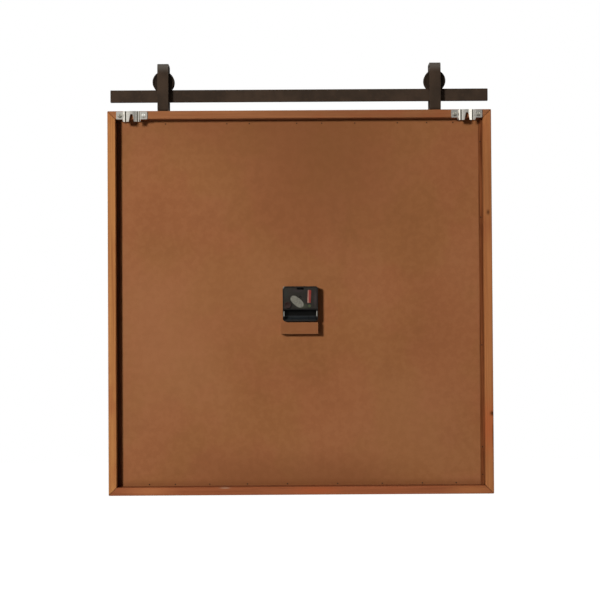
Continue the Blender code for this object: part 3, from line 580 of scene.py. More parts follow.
def lathe(bm, centre, stations, steps=48):
    """Add a body round a Y axis through (centre.x, centre.z); stations are (radius or function, y)."""
    angles = [2 * math.pi * i / steps for i in range(steps)]
    rings = []
    for radius, y in stations:
        if radius == 0:
            rings.append([bm.verts.new((centre.x, y, centre.z))] * steps)
            continue
        ring = []
        for t in angles:
            r = radius(t) if callable(radius) else radius
            ring.append(bm.verts.new((centre.x + r * math.cos(t), y, centre.z + r * math.sin(t))))
        rings.append(ring)
    if stations[0][0] != 0:
        rings.append(rings[0])
    for first, second in zip(rings, rings[1:]):
        for i in range(steps):
            j = (i + 1) % steps
            corners = [first[i], first[j], second[j], second[i]]
            bm.faces.new([v for k, v in enumerate(corners) if v not in corners[:k]])


def hexagon(across):
    sixth = math.pi / 3
    return lambda t: across / 2 / math.cos((t % sixth) - sixth / 2)


def middle(node):
    low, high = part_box(node)
    return (low + high) / 2


def cut(obj, bm, name):
    """Carve a bmesh out of a piece and apply the cut."""
    bmesh.ops.recalc_face_normals(bm, faces=bm.faces)
    tool = in_scene(name, bm)
    mod = obj.modifiers.new("cut", "BOOLEAN")
    mod.object = tool
    while obj.modifiers.find("cut") > 0:
        obj.modifiers.move(obj.modifiers.find("cut"), 0)
    others = [m for m in obj.modifiers if m != mod]
    for m in others:
        m.show_viewport = False
    graph = bpy.context.evaluated_depsgraph_get()
    carved = bpy.data.meshes.new_from_object(obj.evaluated_get(graph))
    obj.modifiers.remove(mod)
    for m in others:
        m.show_viewport = True
    obj.data = carved
    smooth_shade(carved, 30)
    bpy.data.objects.remove(tool)


# ---- wood


def dress(node, mat):
    NODES[node].data.materials.clear()
    NODES[node].data.materials.append(mat)


PALE_STAIN, DEEP_STAIN = srgb(177, 121, 72), srgb(141, 87, 50)
DARK_MARK_AND_SHADE, RED_MARK, BARE_WOOD = srgb(58, 28, 14), srgb(172, 84, 48), srgb(166, 138, 116)
LEFT_MARKS_AND_SHADE = (  # on the left member: a reddish stretch, a knot, a chip, a bruised edge, and painted shade over its upper part
    ((FRAME_LOW.x + 0.005, REAR, CENTRE.z - 0.200), (0.03, 1.0, 0.070), RED_MARK, 0.55),
    ((FRAME_LOW.x + 0.006, REAR, CENTRE.z + 0.141), (0.004, 1.0, 0.007), DARK_MARK_AND_SHADE, 0.8),
    ((FRAME_LOW.x + 0.001, REAR, CENTRE.z - 0.178), (0.0075, 1.0, 0.006), DARK_MARK_AND_SHADE, 1.0),
    ((FRAME_LOW.x, REAR, CENTRE.z - 0.212), (0.0034, 1.0, 0.035), DARK_MARK_AND_SHADE, 0.8),
    # painted shade: the member's upper part darker
    ((FRAME_LOW.x, REAR, CENTRE.z + 0.185), (0.1, 1.0, 0.13), DARK_MARK_AND_SHADE, 0.22),
)
# painted shade over the left part of the top member
TOP_SHADE = (((FRAME_LOW.x + 0.17, REAR, FRAME_HIGH.z), (0.28, 1.0, 0.1), DARK_MARK_AND_SHADE, 0.16),)
BOTTOM_MARKS = (  # on the bottom member: a reddish stretch, two paler ends and two scuffs
    ((-0.025, REAR, FRAME_LOW.z + 0.007), (0.060, 1.0, 0.009), RED_MARK, 0.45),
    ((0.240, REAR, FRAME_LOW.z + 0.007), (0.060, 1.0, 0.012), srgb(178, 116, 74), 0.50),
    ((-0.270, REAR, FRAME_LOW.z + 0.007), (0.060, 1.0, 0.012), srgb(172, 112, 66), 0.50),
    ((0.121, REAR, FRAME_LOW.z + 0.0115), (0.012, 1.0, 0.0018), BARE_WOOD, 0.80),
    ((0.198, REAR, FRAME_LOW.z), (0.007, 1.0, 0.0016), BARE_WOOD, 0.80),
)
FRAME_STAINS = (  # member, way of the grain, paler and deeper tone, shift of the figure, marks and painted shade
    ("right", "Z", PALE_STAIN, DEEP_STAIN, 1.3, ()),
    ("left", "Z", srgb(170, 111, 68), DEEP_STAIN, 4.1, LEFT_MARKS_AND_SHADE),
    ("top", "X", srgb(154, 101, 66), srgb(124, 75, 47), 7.7, TOP_SHADE),
    ("bottom", "X", srgb(150, 88, 57), srgb(121, 68, 42), 9.2, BOTTOM_MARKS),
)


def build_wood():
    for member, *stain in FRAME_STAINS:
        dress(f"frame_{member}", stained_wood(f"frame_stain_{member}", *stain))
    dress("back_panel", back_panel_material())
    dress("stop_block", block_material())
    dress("batten_left", batten_wood("batten_stain_left", 1.0))
    # painted shade: the right batten lies in the right member's cast shadow, so its wood is darkened to 0.6
    dress("batten_right", batten_wood("batten_stain_right_shaded", 0.6))
    for number in range(1, 6):
        dress(f"plank_{number}", plank_wood(f"plank_{number}", number))


def build_mitre_glue():
    """The dark glue line in each mitre of the frame, just below the surface."""
    s = Surface("mitre_glue", specular=0.2)
    fleck = s.noise(0.004, detail=3)
    mat = s.finish(s.mix(s.remap(fleck, 0.4, 0.65), srgb(70, 38, 20), srgb(112, 66, 38)), 0.7)
    sunk = 0.0004
    half = GAP * 0.35
    rim = PANEL_LOW.x - FRAME_LOW.x - GAP
    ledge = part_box("plank_1")[0].x - FRAME_LOW.x - GAP
    front = FRAME_LOW.y + sunk
    layers = ((sunk, rim - sunk, front, REAR - sunk), (rim, ledge - sunk, front, PANEL_LOW.y - GAP - sunk))
    bm = bmesh.new()
    for corner_x in (FRAME_LOW.x, FRAME_HIGH.x):
        for corner_z in (FRAME_LOW.z, FRAME_HIGH.z):
            way_x = math.copysign(1.0, CENTRE.x - corner_x)
            way_z = math.copysign(1.0, CENTRE.z - corner_z)
            place = lambda a, b, t: (corner_x + way_x * a, t, corner_z + way_z * b)
            for near, far, low, high in layers:
                start = [(near - half, near + half), (near + half, near - half)]
                end = [(far + half, far - half), (far - half, far + half)]
                extrude(bm, start + end, place, low, high)
    link("mitre_glue", bm, mat)


BRAD_R = 0.0011
BRAD_PROUD, BRAD_RIM, BRAD_SUNK = 0.0002, 0.00012, -0.0006  # its crown, rim and underside from the surface
TOP_BRADS = (0.214, 0.116, 0.080, 0.004, -0.036, -0.089, -0.157, -0.204, -0.246)
TOP_BRAD_DROP = 0.0055
LOW_BRADS = (0.242, 0.201, 0.146, 0.086, 0.022, -0.058, -0.129, -0.193, -0.247)
LOW_BRAD_RISE = 0.0026
BATTEN_BRADS = (-0.276, -0.232, -0.07, 0.134, 0.255)


def build_brads():
    """Small nail heads, driven nearly flush, round the panel and along the battens."""
    s = Surface("nail_steel", metal=0.4, specular=0.4)
    rust = s.noise(0.001, detail=3)
    mat = s.finish(s.mix(s.remap(rust, 0.4, 0.65), srgb(34, 22, 14), srgb(66, 42, 26)), 0.6)
    spots = [(x, PANEL_HIGH.y, PANEL_HIGH.z - TOP_BRAD_DROP) for x in TOP_BRADS]
    spots += [(x, PANEL_HIGH.y, PANEL_LOW.z + LOW_BRAD_RISE) for x in LOW_BRADS]
    for node in ("batten_left", "batten_right"):
        spots += [(middle(node).x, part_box(node)[1].y, CENTRE.z + rise) for rise in BATTEN_BRADS]
    bm = bmesh.new()
    for x, y, z in spots:
        rim, under = y + BRAD_RIM, y + BRAD_SUNK
        stations = [(0, rim), (BRAD_R * 0.7, y + BRAD_PROUD), (BRAD_R, rim), (BRAD_R, under), (0, under)]
        lathe(bm, Vector((x, 0, z)), stations, 12)
    link("brads", bm, mat)


# ---- rail and straps


WHEEL_HALF = 0.0055  # half the wheel's thickness
GROOVE_HALF = 0.0032
GROOVE_DEPTH = 0.0053
WHEEL_RIM = 0.0030  # width of the raised rim
WHEEL_HUB_R = 0.006
WHEEL_BORE = 0.00325


def wheel_stations(y, radius, front_y):
    """Section of a grooved wheel, centred on y, with a raised rim and a long hub at the front."""
    half, groove, hub = WHEEL_HALF, GROOVE_HALF, WHEEL_HUB_R
    groove_r = radius - GROOVE_DEPTH
    rim_in = radius - WHEEL_RIM
    front = front_y - y
    face = [(rim_in - 0.0003, half - 0.0012), (rim_in, half - 0.0005), (rim_in + 0.0004, half)]
    face += [(radius - 0.0005, half)]
    rear = [(hub + 0.0018, half - 0.0014), (hub + 0.0012, half - 0.0004), (hub + 0.0008, half)]
    rear += [(WHEEL_BORE, half)]
    nose = [(WHEEL_BORE, front), (hub - 0.0004, front), (hub, front + 0.0004), (hub, -half + 0.0014)]
    flank = [(radius, half - 0.0005), (radius, groove + 0.0009), (radius - 0.0004, groove + 0.0005)]
    flank += [(groove_r + 0.0006, groove), (groove_r, groove - 0.0006)]
    section = nose + [(r, -t) for r, t in face + flank] + flank[::-1] + face[::-1] + rear
    return [(r, y + t) for r, t in section]


def bolt(node, mat, across, head):
    """A hexagon bolt that faces the room, with a washer face and a chamfered head."""
    low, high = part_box(node)
    flats = hexagon(across)
    seat = low.y + head
    shank = 0.003
    washer = across * 0.49
    chamfer = lambda t: min(flats(t), across * 0.535)
    stations = [(0, low.y), (across * 0.44, low.y), (chamfer, low.y + 0.0007), (flats, low.y + 0.0012)]
    stations += [(flats, seat - 0.0008), (washer, seat - 0.0006), (washer, seat), (shank, seat)]
    stations += [(shank, high.y - 0.0006), (shank - 0.0006, high.y), (0, high.y)]
    bm = bmesh.new()
    lathe(bm, middle(node), stations)
    link(f"{node}_fine", bm, mat, replaced=(node,))


def nut(node, mat, across, bore):
    """A hexagon nut, chamfered on both faces and at both ends of its bore."""
    low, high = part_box(node)
    flats = hexagon(across)
    chamfer = lambda t: min(flats(t), across * 0.55)
    half = [(bore, 0.0004), (bore + 0.0004, 0.0), (across * 0.46, 0.0), (chamfer, 0.0005), (flats, 0.0009)]
    stations = [(r, low.y + y) for r, y in half] + [(r, high.y - y) for r, y in half[::-1]]
    bm = bmesh.new()
    lathe(bm, middle(node), stations)
    link(f"{node}_fine", bm, mat, replaced=(node,))


def screw(node, mat, facing, head_r, head_h, shank_r):
    """A pan-head screw; facing is +1 where its head faces the wall."""
    low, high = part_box(node)
    centre = middle(node)
    y_out = high.y if facing > 0 else low.y
    y_in = low.y if facing > 0 else high.y
    seat = y_out - facing * head_h
    stations = [(0, y_out)]
    for i in range(1, 7):
        t = math.radians(15 * i)
        stations.append((head_r * math.sin(t), seat + facing * head_h * (0.25 + 0.75 * math.cos(t))))
    stations += [(head_r, seat), (shank_r, seat), (shank_r, y_in + facing * 0.002), (0, y_in)]
    bm = bmesh.new()
    lathe(bm, centre, stations, 40)
    obj = link(f"{node}_fine", bm, mat, replaced=(node,))
    reach = head_r * 0.55
    width = reach * 0.2
    outline = [(-reach, -width), (reach, -width), (reach, width), (-reach, width)]
    depth = sorted((y_out + facing * 0.001, y_out - facing * head_h * 0.6))
    for i, turn in enumerate((0.35, 0.35 + math.pi / 2)):
        cut(obj, prism(outline, facing_wall(centre, turn), *depth), f"recess_{node}_{i}")


def build_rail_and_straps():
    coat = bronze_coat()
    wheel_coat = bronze_coat("wheel_coat", 0.52)
    strap_coat = bronze_coat("strap_coat", top_highlight_z=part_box("strap_left")[1].z)
    refined("rail", coat, 0.0004)
    for side in ("left", "right"):
        refined(f"strap_{side}", strap_coat, 0.0010, 3)
        node = f"wheel_{side}"
        low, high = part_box(node)
        bm = bmesh.new()
        lathe(bm, middle(node), wheel_stations(high.y - WHEEL_HALF, (high.z - low.z) / 2, low.y), 80)
        link(f"{node}_fine", bm, wheel_coat, body_of_node(node), replaced=(node,))
        bolt(f"axle_bolt_{side}", coat, 0.011, 0.004)
        for level in ("upper", "lower"):
            bolt(f"strap_bolt_{side}_{level}", coat, 0.012, 0.0045)
        nut(f"axle_nut_{side}", coat, 0.010, 0.0033)
        screw(f"rail_screw_{side}", coat, -1, 0.0045, 0.0024, 0.0025)
        dress(f"rail_spacer_{side}", coat)


# ---- wall hangers


HANGER_RISE = 0.006
HANGER_SHEET = 0.0012
HANGER_PROFILE = (  # distance from the middle, share of the full rise, and how the sheet runs on from there
    (0.0, 1.0, "crown"),
    (0.0078, 0.84, "smooth"),
    (0.0092, 0.60, "smooth"),
    (0.0105, 0.84, "crown"),
    (0.0122, 0.62, "smooth"),
    (0.0138, 0.0, "flat"),
)
SLOT_R = 0.0022
SLOT_MOUTH = 0.0046
FOOT_DROP = 0.0125


def hanger_rise(distance):
    """How far the sheet stands off its feet: a crowned middle with a pressed groove on each side."""
    full = HANGER_RISE - HANGER_SHEET
    for (near, high, run), (far, low, _) in zip(HANGER_PROFILE, HANGER_PROFILE[1:]):
        if distance <= far:
            share = (distance - near) / (far - near)
            drop = share**2 if run == "crown" else 0.5 - 0.5 * math.cos(math.pi * share)
            return full * (high + (low - high) * drop)
    return 0.0


def build_hanger(side, mat):
    """A plated strip bent like a hat, its middle taller than its feet, slotted for the wall screw."""
    node = f"hanger_{side}"
    low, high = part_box(node)
    centre = Vector(((low.x + high.x) / 2, 0, 0))
    half = (high.x - low.x) / 2
    bend = HANGER_PROFILE[-1][0]
    steps = 200
    corner_r = 0.0015
    bm = bmesh.new()
    rings = []
    for i in range(steps + 1):
        x = -half + 2 * half * i / steps
        inner = -HANGER_RISE + hanger_rise(abs(x))
        share = min(max((bend + 0.0006 - abs(x)) / 0.0008, 0.0), 1.0)
        corner = min(max((half - abs(x)) / corner_r, 0.0), 1.0)
        inset = corner_r * (1 - math.sqrt(1 - (1 - corner) ** 2))
        bottom = high.z - FOOT_DROP + (low.z - high.z + FOOT_DROP) * share + inset
        top = high.z - inset
        ends = ((inner + HANGER_SHEET, top), (inner + HANGER_SHEET, bottom), (inner, bottom), (inner, top))
        rings.append([bm.verts.new((centre.x + x, y, z)) for y, z in ends])
    skin(bm, rings)
    bm.faces.new(rings[0])
    bm.faces.new(rings[-1])
    plate = link(f"{node}_fine", bm, mat, smooth=40, bevel=0.00018, replaced=(node,))
    mouth = low.z - 0.002
    outline = [(SLOT_MOUTH, mouth), *arc(0, 0, SLOT_R, 0, 180, 16), (-SLOT_MOUTH, mouth)]
    cut(plate, prism(outline, facing_wall(centre), -0.007, 0.002), f"slot_{side}")


def build_hangers():
    groove = HANGER_PROFILE[2][0]
    white = bright_zinc("screw_zinc_glint", (250, 248, 238), 0.30, 0.1)
    dull = bright_zinc("screw_dull", (186, 182, 168), 0.30)
    for side in ("left", "right"):
        x = middle(f"hanger_{side}").x
        build_hanger(side, bright_zinc(f"hanger_zinc_{side}", shaded_grooves=(x - groove, x + groove)))
        for foot in ("a", "b"):
            node = f"hanger_screw_{side}_{foot}"
            # painted highlight: the right hanger's first screw head gets a brighter copy of the zinc
            finish = white if (side, foot) == ("right", "a") else dull
            screw(node, finish, 1, 0.0034, 0.0017, 0.0013)


# ---- movement


BAY_HALF = 0.027
BAY_LOW, BAY_HIGH = -0.028, -0.0123
SEAT_HALF = 0.0252
CRADLE_R = 0.0076
WORKS_LOW, WORKS_HIGH = -0.0110, 0.0235
CASE_WALL = 0.0015
CASE_FLOOR = 0.0014
SEAT_FLOOR = 0.0009  # the case's floor under the cell
COVER_LEDGE = 0.0009  # width of the ledge that the cover lies on
COVER_RELIEF = 0.0003  # the cover's marks stand this far off its face
CASE_R, CASE_LOW_R = 0.004, 0.0052  # radii of its upper and lower corners
SHAFT_HOLE_R = 0.0042
MOULDED_BARS = (  # across, up, half width and half height of raised marks on the cover
    (0.0205, 0.0046, 0.0040, 0.0005),
    (0.0224, 0.0030, 0.0020, 0.0004),
    (0.0, 0.0165, 0.0038, 0.0005),
    (-0.0085, -0.0085, 0.0050, 0.0004),
)
COVER_STAINS = (  # centre from the arbor, reach along X, Y and Z, tone and amount
    ((-0.0050, -0.0065), (0.0120, 1.0, 0.0060), srgb(66, 70, 56), 0.75),
    ((-0.0245, 0.0060), (0.0050, 1.0, 0.0200), srgb(58, 49, 50), 0.80),
    ((0.0040, 0.0180), (0.0160, 1.0, 0.0050), srgb(53, 45, 46), 0.60),
    ((0.0230, 0.0130), (0.0070, 1.0, 0.0120), srgb(40, 44, 40), 0.60),
    ((0.0225, -0.0085), (0.0050, 1.0, 0.0030), srgb(70, 58, 60), 0.60),
)


def build_case(mat):
    """The case: rounded corners and rims, the works' recess behind the cover and the open battery bay."""
    low, high = CASE_LOW, CASE_HIGH
    half = (high.x - low.x) / 2
    centre = Vector((0, 0, (low.z + high.z) / 2))
    outline = rounded(half, (high.z - low.z) / 2, CASE_R, 8, CASE_LOW_R)
    shell = softened(outline, facing_wall(centre), low.y, high.y, 0.0010, 4)
    case = link("movement_case_fine", shell, mat, replaced=("movement_case",))
    place = facing_wall(Vector((0, 0, ARBOR_Z)))
    side = half - CASE_WALL
    floor = low.y + CASE_FLOOR
    works = upright(side, WORKS_LOW, WORKS_HIGH)
    cut(case, flared(works, place, COVER_LOW.y - GAP, high.y, 0.0004, 0.0004), "works_mouth")
    deep = upright(side - COVER_LEDGE, WORKS_LOW + COVER_LEDGE, WORKS_HIGH - COVER_LEDGE)
    cut(case, prism(deep, place, floor, COVER_LOW.y + 0.001), "works_recess")
    bay = upright(BAY_HALF, BAY_LOW, BAY_HIGH)
    cut(case, flared(bay, place, floor, high.y, 0.0006, 0.0006), "bay_mouth")
    seat = upright(SEAT_HALF, BAY_LOW, BAY_HIGH)
    cut(case, prism(seat, place, low.y + SEAT_FLOOR, low.y + 0.003), "bay_seat")
    hole = ellipse(SHAFT_HOLE_R, SHAFT_HOLE_R, 24)
    cut(case, prism(hole, place, low.y - 0.001, floor + 0.001), "shaft_hole")
    post = bmesh.new()
    foot, tip, post_r = floor + 0.00005, floor + 0.0059, 0.0008
    lathe(post, middle("minute_wheel"), [(0, foot), (post_r, foot), (post_r, tip), (0, tip)], 16)
    link("wheel_post", post, mat)
    settle(case)


def build_cover(mat):
    """The rear cover: a notch to lift it by, the knob's hole, a vent, a border and moulded marks."""
    low, high = COVER_LOW, COVER_HIGH
    half = (high.x - low.x) / 2
    hub = Vector((0, 0, ARBOR_Z))
    place = facing_wall(hub)
    bottom, top = low.z - ARBOR_Z, high.z - ARBOR_Z
    notch, drop, r = 0.0055, 0.0036, 0.0012
    outline = [
        *arc(half - r, top - r, r, 0, 90, 4),
        (notch, top),
        (notch, top - drop),
        (-notch, top - drop),
        (-notch, top),
        *arc(r - half, top - r, r, 90, 180, 4),
        *arc(r - half, bottom + r, r, 180, 270, 4),
        *arc(half - r, bottom + r, r, 270, 360, 4),
    ]
    face = high.y - COVER_RELIEF
    shell = softened(outline, place, low.y, face, 0.00035, 2)
    cover = link("movement_cover_fine", shell, mat, replaced=("movement_cover",))
    knob = middle("set_knob")
    holes = (("knob_hole", knob.x, knob.z - ARBOR_Z, 0.0020), ("vent", 0.0, 0.0083, 0.0011))
    for name, x, z, radius in holes:
        ring = [(x + a, z + b) for a, b in ellipse(radius, radius, 28)]
        cut(cover, prism(ring, place, low.y - 0.001, high.y + 0.001), name)
    settle(cover)
    marks = bmesh.new()
    sink = face - 0.0002
    outer, inner, crest = 0.0113, 0.0106, face + 0.0002
    lathe(marks, hub, [(outer, sink), (outer, crest), (inner, crest), (inner, sink)], 64)
    plate = rounded(0.0030, (top - bottom) / 2 - 0.0012, 0.0008, 4)
    plate_at = Vector((-0.0222, 0, ARBOR_Z + (top + bottom) / 2))
    extrude(marks, plate, facing_wall(plate_at), sink, face + 0.00016)
    for x, z, a, b in MOULDED_BARS:
        bar = rounded(a, b, min(a, b) * 0.9, 4)
        extrude(marks, bar, facing_wall(Vector((x, 0, ARBOR_Z + z))), sink, face + 0.00025)
    link("cover_details", marks, mat, bevel=0.00008)


def build_movement():
    y = CASE_HIGH.y
    # painted highlight: a pale patch on the case's upper right corner, on the lamp's side
    corner = (CASE_HIGH.x - 0.0012, y, CASE_HIGH.z - 0.0014)
    rubbed = ((corner, (0.0030, 0.006, 0.0036), srgb(176, 166, 152), 0.9),)
    stains_and_glints = [((x, y, ARBOR_Z + z), *rest) for (x, z), *rest in COVER_STAINS]
    black = moulded("case_black", srgb(24, 22, 20), 0.34, specular=0.3, stains_and_glints=rubbed)
    cover_black = moulded("cover_black", srgb(37, 34, 30), 0.42, 0.0005, specular=0.25, stains_and_glints=stains_and_glints)
    knob_black = moulded("knob_black", srgb(40, 25, 22), 0.40, specular=0.3)
    build_case(black)
    build_cover(cover_black)
    bay_black = moulded("bay_black", srgb(30, 33, 35), 0.32, specular=0.3)
    # painted shade: bay_shade is a near-black stand-in for the shade over the bay's upper floor
    build_cradle(bay_black, moulded("bay_shade", srgb(9, 9, 8), 0.5, specular=0.15))
    build_knob(knob_black)
    build_labels()
    plate = bright_zinc("contact_plate", (214, 210, 198), 0.2, 0.3)
    iron = bright_zinc("core_iron", (150, 148, 144), 0.35)
    white = moulded("gear_white", srgb(222, 218, 204), 0.4)
    dress("gasket", foam())
    dress("circuit_board", circuit_green())
    dress("coil", wound_copper())
    for mat, *nodes in (
        (plate, "contact_negative", "contact_positive"),
        (iron, "stator", "rotor"),
        (white, "hour_wheel", "minute_wheel"),
    ):
        for node in nodes:
            dress(node, mat)


def build_cradle(mat, dark):
    """The battery bay's lining: a near-black floor above as painted shade, a rib, and a curved bed that an
    AA cell lies on.
    """
    bay_z = ARBOR_Z + (BAY_LOW + BAY_HIGH) / 2
    floor = CASE_LOW.y + SEAT_FLOOR
    half = (BAY_HIGH - BAY_LOW) / 2 - 0.00005
    reach = 0.0246
    notch_near, notch_far = 0.0127, 0.0135
    axis_y = floor + 0.0002 + CRADLE_R
    rib, rib_height, rib_width = -0.0016, 0.0006, 0.0007
    place = lambda a, b, t: (t, a, bay_z + b)
    lap = [(a + axis_y, b) for a, b in arc(0, 0, CRADLE_R, 200, 254, 27)]
    crest = floor + rib_height
    lower = [(floor, rib), (crest, rib), (crest, rib - rib_width), *lap]
    lower += [(lap[-1][0], -half), (floor, -half)]
    bm = bmesh.new()
    for x0, x1 in ((-reach, -notch_far), (-notch_near, notch_near), (notch_far, reach)):
        extrude(bm, lower, place, x0, x1)
    link("bay_cradles", bm, mat, bevel=0.00012)
    low, high = rib + 0.0002, floor + 0.00025
    upper = [(floor, low), (high, low), (high, half), (floor, half)]
    link("bay_floor", prism(upper, place, -reach, reach), dark, bevel=0.00008)
    marks = bmesh.new()
    for x, bars in ((0.019, ((0.0016, 0.0004), (0.0004, 0.0016))), (-0.019, ((0.0016, 0.0004),))):
        at = facing_wall(Vector((x, 0, bay_z + 0.003)))
        for a, b in bars:
            extrude(marks, rounded(a, b, 0.0003, 3), at, floor, floor + 0.00045)
    link("bay_polarity_marks", marks, dark)


def build_knob(mat):
    """The hand-setting knob: the CAD node's spindle and gear, under a finely knurled, dished head."""
    node = "set_knob"
    low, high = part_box(node)
    centre = middle(node)
    radius = (high.x - low.x) / 2
    ridges = 36
    knurl = lambda t: radius - 0.00016 * (1 - math.cos(ridges * t))
    top, base = high.y, CASE_HIGH.y + 0.0003
    bm = clean_copy(node)
    everything = [*bm.verts, *bm.edges, *bm.faces]
    cut_at = (0, base - 0.00005, 0)
    bmesh.ops.bisect_plane(bm, geom=everything, plane_co=cut_at, plane_no=(0, 1, 0), clear_outer=True)
    bmesh.ops.holes_fill(bm, edges=[e for e in bm.edges if e.is_boundary])
    stations = [
        (0, base),
        (lambda t: knurl(t) - 0.0003, base),
        (knurl, base + 0.0003),
        (knurl, top - 0.0005),
        (radius * 0.88, top),
        (radius * 0.74, top),
        (radius * 0.66, top - 0.0007),
        (0, top - 0.0007),
    ]
    lathe(bm, centre, stations, 216)
    grip = [(a + radius * 0.33, b) for a, b in rounded(radius * 0.2, 0.0005, 0.0004, 3)]
    for turn in (0.5, 0.5 + math.pi):
        extrude(bm, grip, facing_wall(centre, turn), top - 0.0008, top - 0.0002)
    link("set_knob_fine", bm, mat, body_of_node(node), replaced=(node,))


def oval_paper(face):
    """Grey label paper, with faint lines and two smudges."""
    s = Surface("oval_label", specular=0.45)
    fade = s.noise(0.003, detail=4)
    line = s.noise((0.0012, 0.01, 0.0006), detail=2)
    tone = s.mix(s.remap(fade, 0.4, 0.7), srgb(122, 120, 110), srgb(92, 90, 82))
    tone = s.tint(tone, srgb(78, 75, 68), line, 0.56, 0.66, 0.4)
    centres = ((0.0058, face, ARBOR_Z + 0.0032), (0.0012, face, ARBOR_Z - 0.0008))
    tone = s.spots(tone, [(centre, (0.0016, 1.0, 0.0030), srgb(70, 66, 58), 0.45) for centre in centres])
    s.bump(fade, 0.00006, 0.5)
    return s.finish(tone, 0.42)


def build_labels():
    """The labels on the cover, with nothing printed on them."""
    face = COVER_HIGH.y - COVER_RELIEF
    x = -0.0142
    strip = printed_foil("strip_label", srgb(158, 118, 104), srgb(128, 40, 33), 0.0020, x - 0.0002)
    dot = moulded("inspection_green", srgb(60, 68, 46), 0.6)
    oval = oval_paper(face)
    labels = (  # name, slot, material, outline, place from the arbor, turn and thickness
        ("label_oval", "white_plastic", oval, pebble(0.012, 0.0062, 2.4), 0.0052, 0.0006, 40, 0.00025),
        ("label_strip", "white_plastic", strip, rounded(0.0026, 0.0102, 0.0006), x, 0.0087, 3, 0.00015),
        ("inspection_dot", "board_green", dot, ellipse(0.0022, 0.0026, 24), -0.0145, -0.0062, 0, 0.00012),
    )
    for name, slot, mat, outline, x, z, turn, thick in labels:
        place = facing_wall(Vector((x, 0, ARBOR_Z + z)), math.radians(turn))
        link(name, prism(outline, place, face, face + thick), mat)


# ---- dial side


NUMBER_SIZE = 0.074
NUMBER_R = 0.222
MARK_R = 0.268


def on_dial(radius, turn, y):
    """A point on the dial, by its distance from the arbor and its turn clockwise from 12."""
    return Vector((radius * math.sin(turn), y, CENTRE.z + radius * math.cos(turn)))


def build_dial():
    """Worn number paint and minute marks on the planks, the hands and the shaft's fittings."""
    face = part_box("plank_3")[0].y
    paint = worn_paint("number_paint", srgb(34, 30, 27), srgb(120, 92, 66))
    for hour in range(1, 13):
        turn = math.radians(30 * hour)
        curve = bpy.data.curves.new(f"number_{hour}", "FONT")
        curve.body = str(hour)
        curve.size = NUMBER_SIZE
        curve.extrude = 0.00006
        curve.align_x = "CENTER"
        curve.align_y = "CENTER"
        curve.materials.append(paint)
        number = in_scene(f"number_{hour}", curve)
        number.location = on_dial(NUMBER_R, turn, face - 0.00008)
        number.rotation_euler = (math.pi / 2, 0, 0)
        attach(number, ROOT)
    bm = bmesh.new()
    for minute in range(60):
        turn = math.radians(6 * minute)
        half_w, half_l = (0.0022, 0.0075) if minute % 5 == 0 else (0.0009, 0.0045)
        place = facing_wall(on_dial(MARK_R, turn, 0), -turn)
        extrude(bm, rounded(half_w, half_l, half_w * 0.6, 3), place, face - 0.00014, face - 0.00002)
    link("minute_marks", bm, paint)
    black = lacquer_black()
    refined("hour_hand", black, 0.0002)
    refined("minute_hand", black, 0.0002)
    dress("hand_cap", black)
    brass = turned_brass()
    for node in ("shaft_bushing", "dial_washer", "minute_arbor"):
        dress(node, brass)
    nut("dial_nut", brass, 0.012, 0.0042)


# ---- stage, light and camera


FLOOR_DROP = 0.9
FLOOR_HALF = 9.0
WORLD_FILL = 0.058
FILL_TONE = (1.0, 0.62, 0.33)
MIRROR_ROOM = (  # brightness that glossy surfaces see, by how far a direction points along X
    (-0.98, 0.55),
    (-0.62, 0.60),
    (-0.52, 1.50),
    (-0.30, 1.50),
    (-0.22, 0.28),
    (-0.16, 0.34),
    (-0.10, 0.40),
    (0.16, 0.42),
    (0.28, 1.50),
    (0.98, 1.50),
)
CAMERA_DISTANCE = 2.1
VIEW_WIDTH = 0.9512  # what the picture spans at the middle's distance
SENSOR_MM = 36.0
CAMERA_OFFSET = Vector((0.0048, CAMERA_DISTANCE, -0.0304))
AIM_OFFSET = Vector((0.0005, 0.0, 0.0032))
ROLL = math.radians(-0.341)
LAMPS = (  # name, direction from the clock, distance, size, power, colour
    ("key", (0.58, 1.0, 0.26), 5.0, (0.70, 0.70), 240, (1.0, 0.985, 0.96)),
    ("room_key", (-0.7, -1.0, 0.7), 2.8, (1.6, 1.2), 95, (1.0, 1.0, 1.0)),
    ("room_fill", (1.2, -1.0, 0.2), 3.0, (1.4, 1.4), 32, (1.0, 1.0, 1.0)),
)


def build_stage():
    """A white floor well below the clock, which hangs in the air as if on a wall."""
    floor_z = FRAME_LOW.z - FLOOR_DROP
    bm = bmesh.new()
    bmesh.ops.create_grid(bm, x_segments=1, y_segments=1, size=FLOOR_HALF)
    bmesh.ops.translate(bm, verts=bm.verts, vec=(0, 0, floor_z))
    floor = in_scene("floor", bm)
    s = Surface("pale_floor", rough=0.9, specular=0.0)
    seen = s.add("ShaderNodeLightPath").outputs["Is Camera Ray"]
    s.set((("Emission Color", (1.0, 1.0, 1.0)), ("Emission Strength", seen)))
    floor.data.materials.append(s.finish((0.3, 0.3, 0.3)))


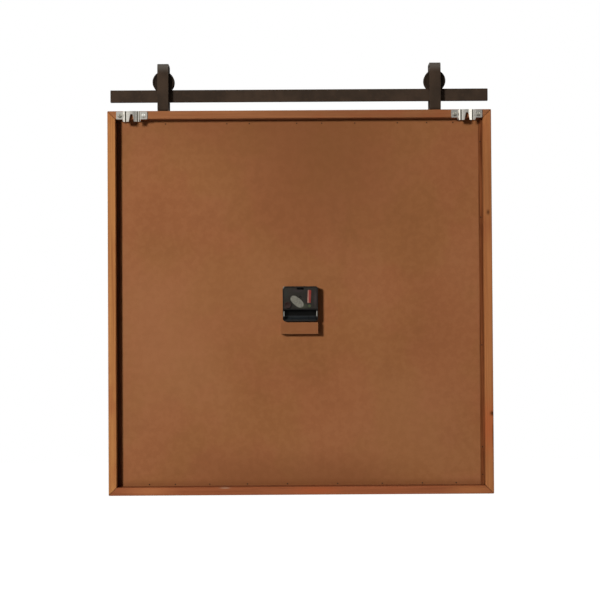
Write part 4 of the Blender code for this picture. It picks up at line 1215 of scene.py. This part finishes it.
def build_world():
    """White behind the object, dim as a light; in reflections the sides are bright and the rest is dim."""
    world = bpy.data.worlds.new("studio")
    bpy.context.scene.world = world
    world.use_nodes = True
    nodes = Nodes(world.node_tree)
    ray = nodes.add("ShaderNodeLightPath").outputs
    way = nodes.add("ShaderNodeTexCoord").outputs["Generated"]
    x = nodes.add("ShaderNodeSeparateXYZ", ((0, way),)).outputs["X"]
    share = nodes.math("ADD", nodes.math("MULTIPLY", x, 0.5), 0.5)
    ramp = nodes.add("ShaderNodeValToRGB", ((0, share),))
    stops = ramp.color_ramp.elements
    stops.remove(stops[0])
    for i, (lean, glow) in enumerate(MIRROR_ROOM):
        stop = stops[0] if i == 0 else stops.new(0.5)
        stop.position = 0.5 + 0.5 * lean
        stop.color = (glow, glow, glow, 1)
    glossy = nodes.math("MULTIPLY", ray["Is Glossy Ray"], ramp.outputs["Color"])
    seen = nodes.math("MAXIMUM", ray["Is Camera Ray"], glossy)
    background = nodes.tree.nodes["Background"].inputs
    nodes.feed(background["Strength"], nodes.math("MAXIMUM", seen, WORLD_FILL))
    nodes.feed(background["Color"], nodes.mix(ray["Is Diffuse Ray"], (1.0, 1.0, 1.0), FILL_TONE))


def softbox(name, direction, distance, size, power, colour):
    data = bpy.data.lights.new(name, "AREA")
    data.shape = "RECTANGLE"
    data.size, data.size_y = size
    data.energy = power
    data.color = colour
    lamp = in_scene(name, data)
    way = Vector(direction).normalized()
    lamp.location = CENTRE + way * distance
    lamp.rotation_euler = way.to_track_quat("Z", "Y").to_euler()
    lamp.visible_glossy = False


def build_camera():
    """Square on to the wall side, with the small tilt that the object is seen at."""
    data = bpy.data.cameras.new("camera")
    data.sensor_width = SENSOR_MM
    data.lens = SENSOR_MM * CAMERA_DISTANCE / VIEW_WIDTH
    camera = in_scene("camera", data)
    middle_of_rear = Vector((0.0, REAR, CENTRE.z))
    back = (CAMERA_OFFSET - AIM_OFFSET).normalized()
    across = Vector((0, 0, 1)).cross(back).normalized()
    level = Matrix((across, back.cross(across), back)).transposed().to_4x4()
    place = Matrix.Translation(middle_of_rear + CAMERA_OFFSET)
    camera.matrix_world = place @ level @ Matrix.Rotation(ROLL, 4, "Z")
    bpy.context.scene.camera = camera


bpy.context.scene.view_settings.view_transform = "Standard"
build_wood()
build_mitre_glue()
build_brads()
build_rail_and_straps()
build_hangers()
build_movement()
build_dial()
build_stage()
build_world()
for lamp in LAMPS:
    softbox(*lamp)
build_camera()
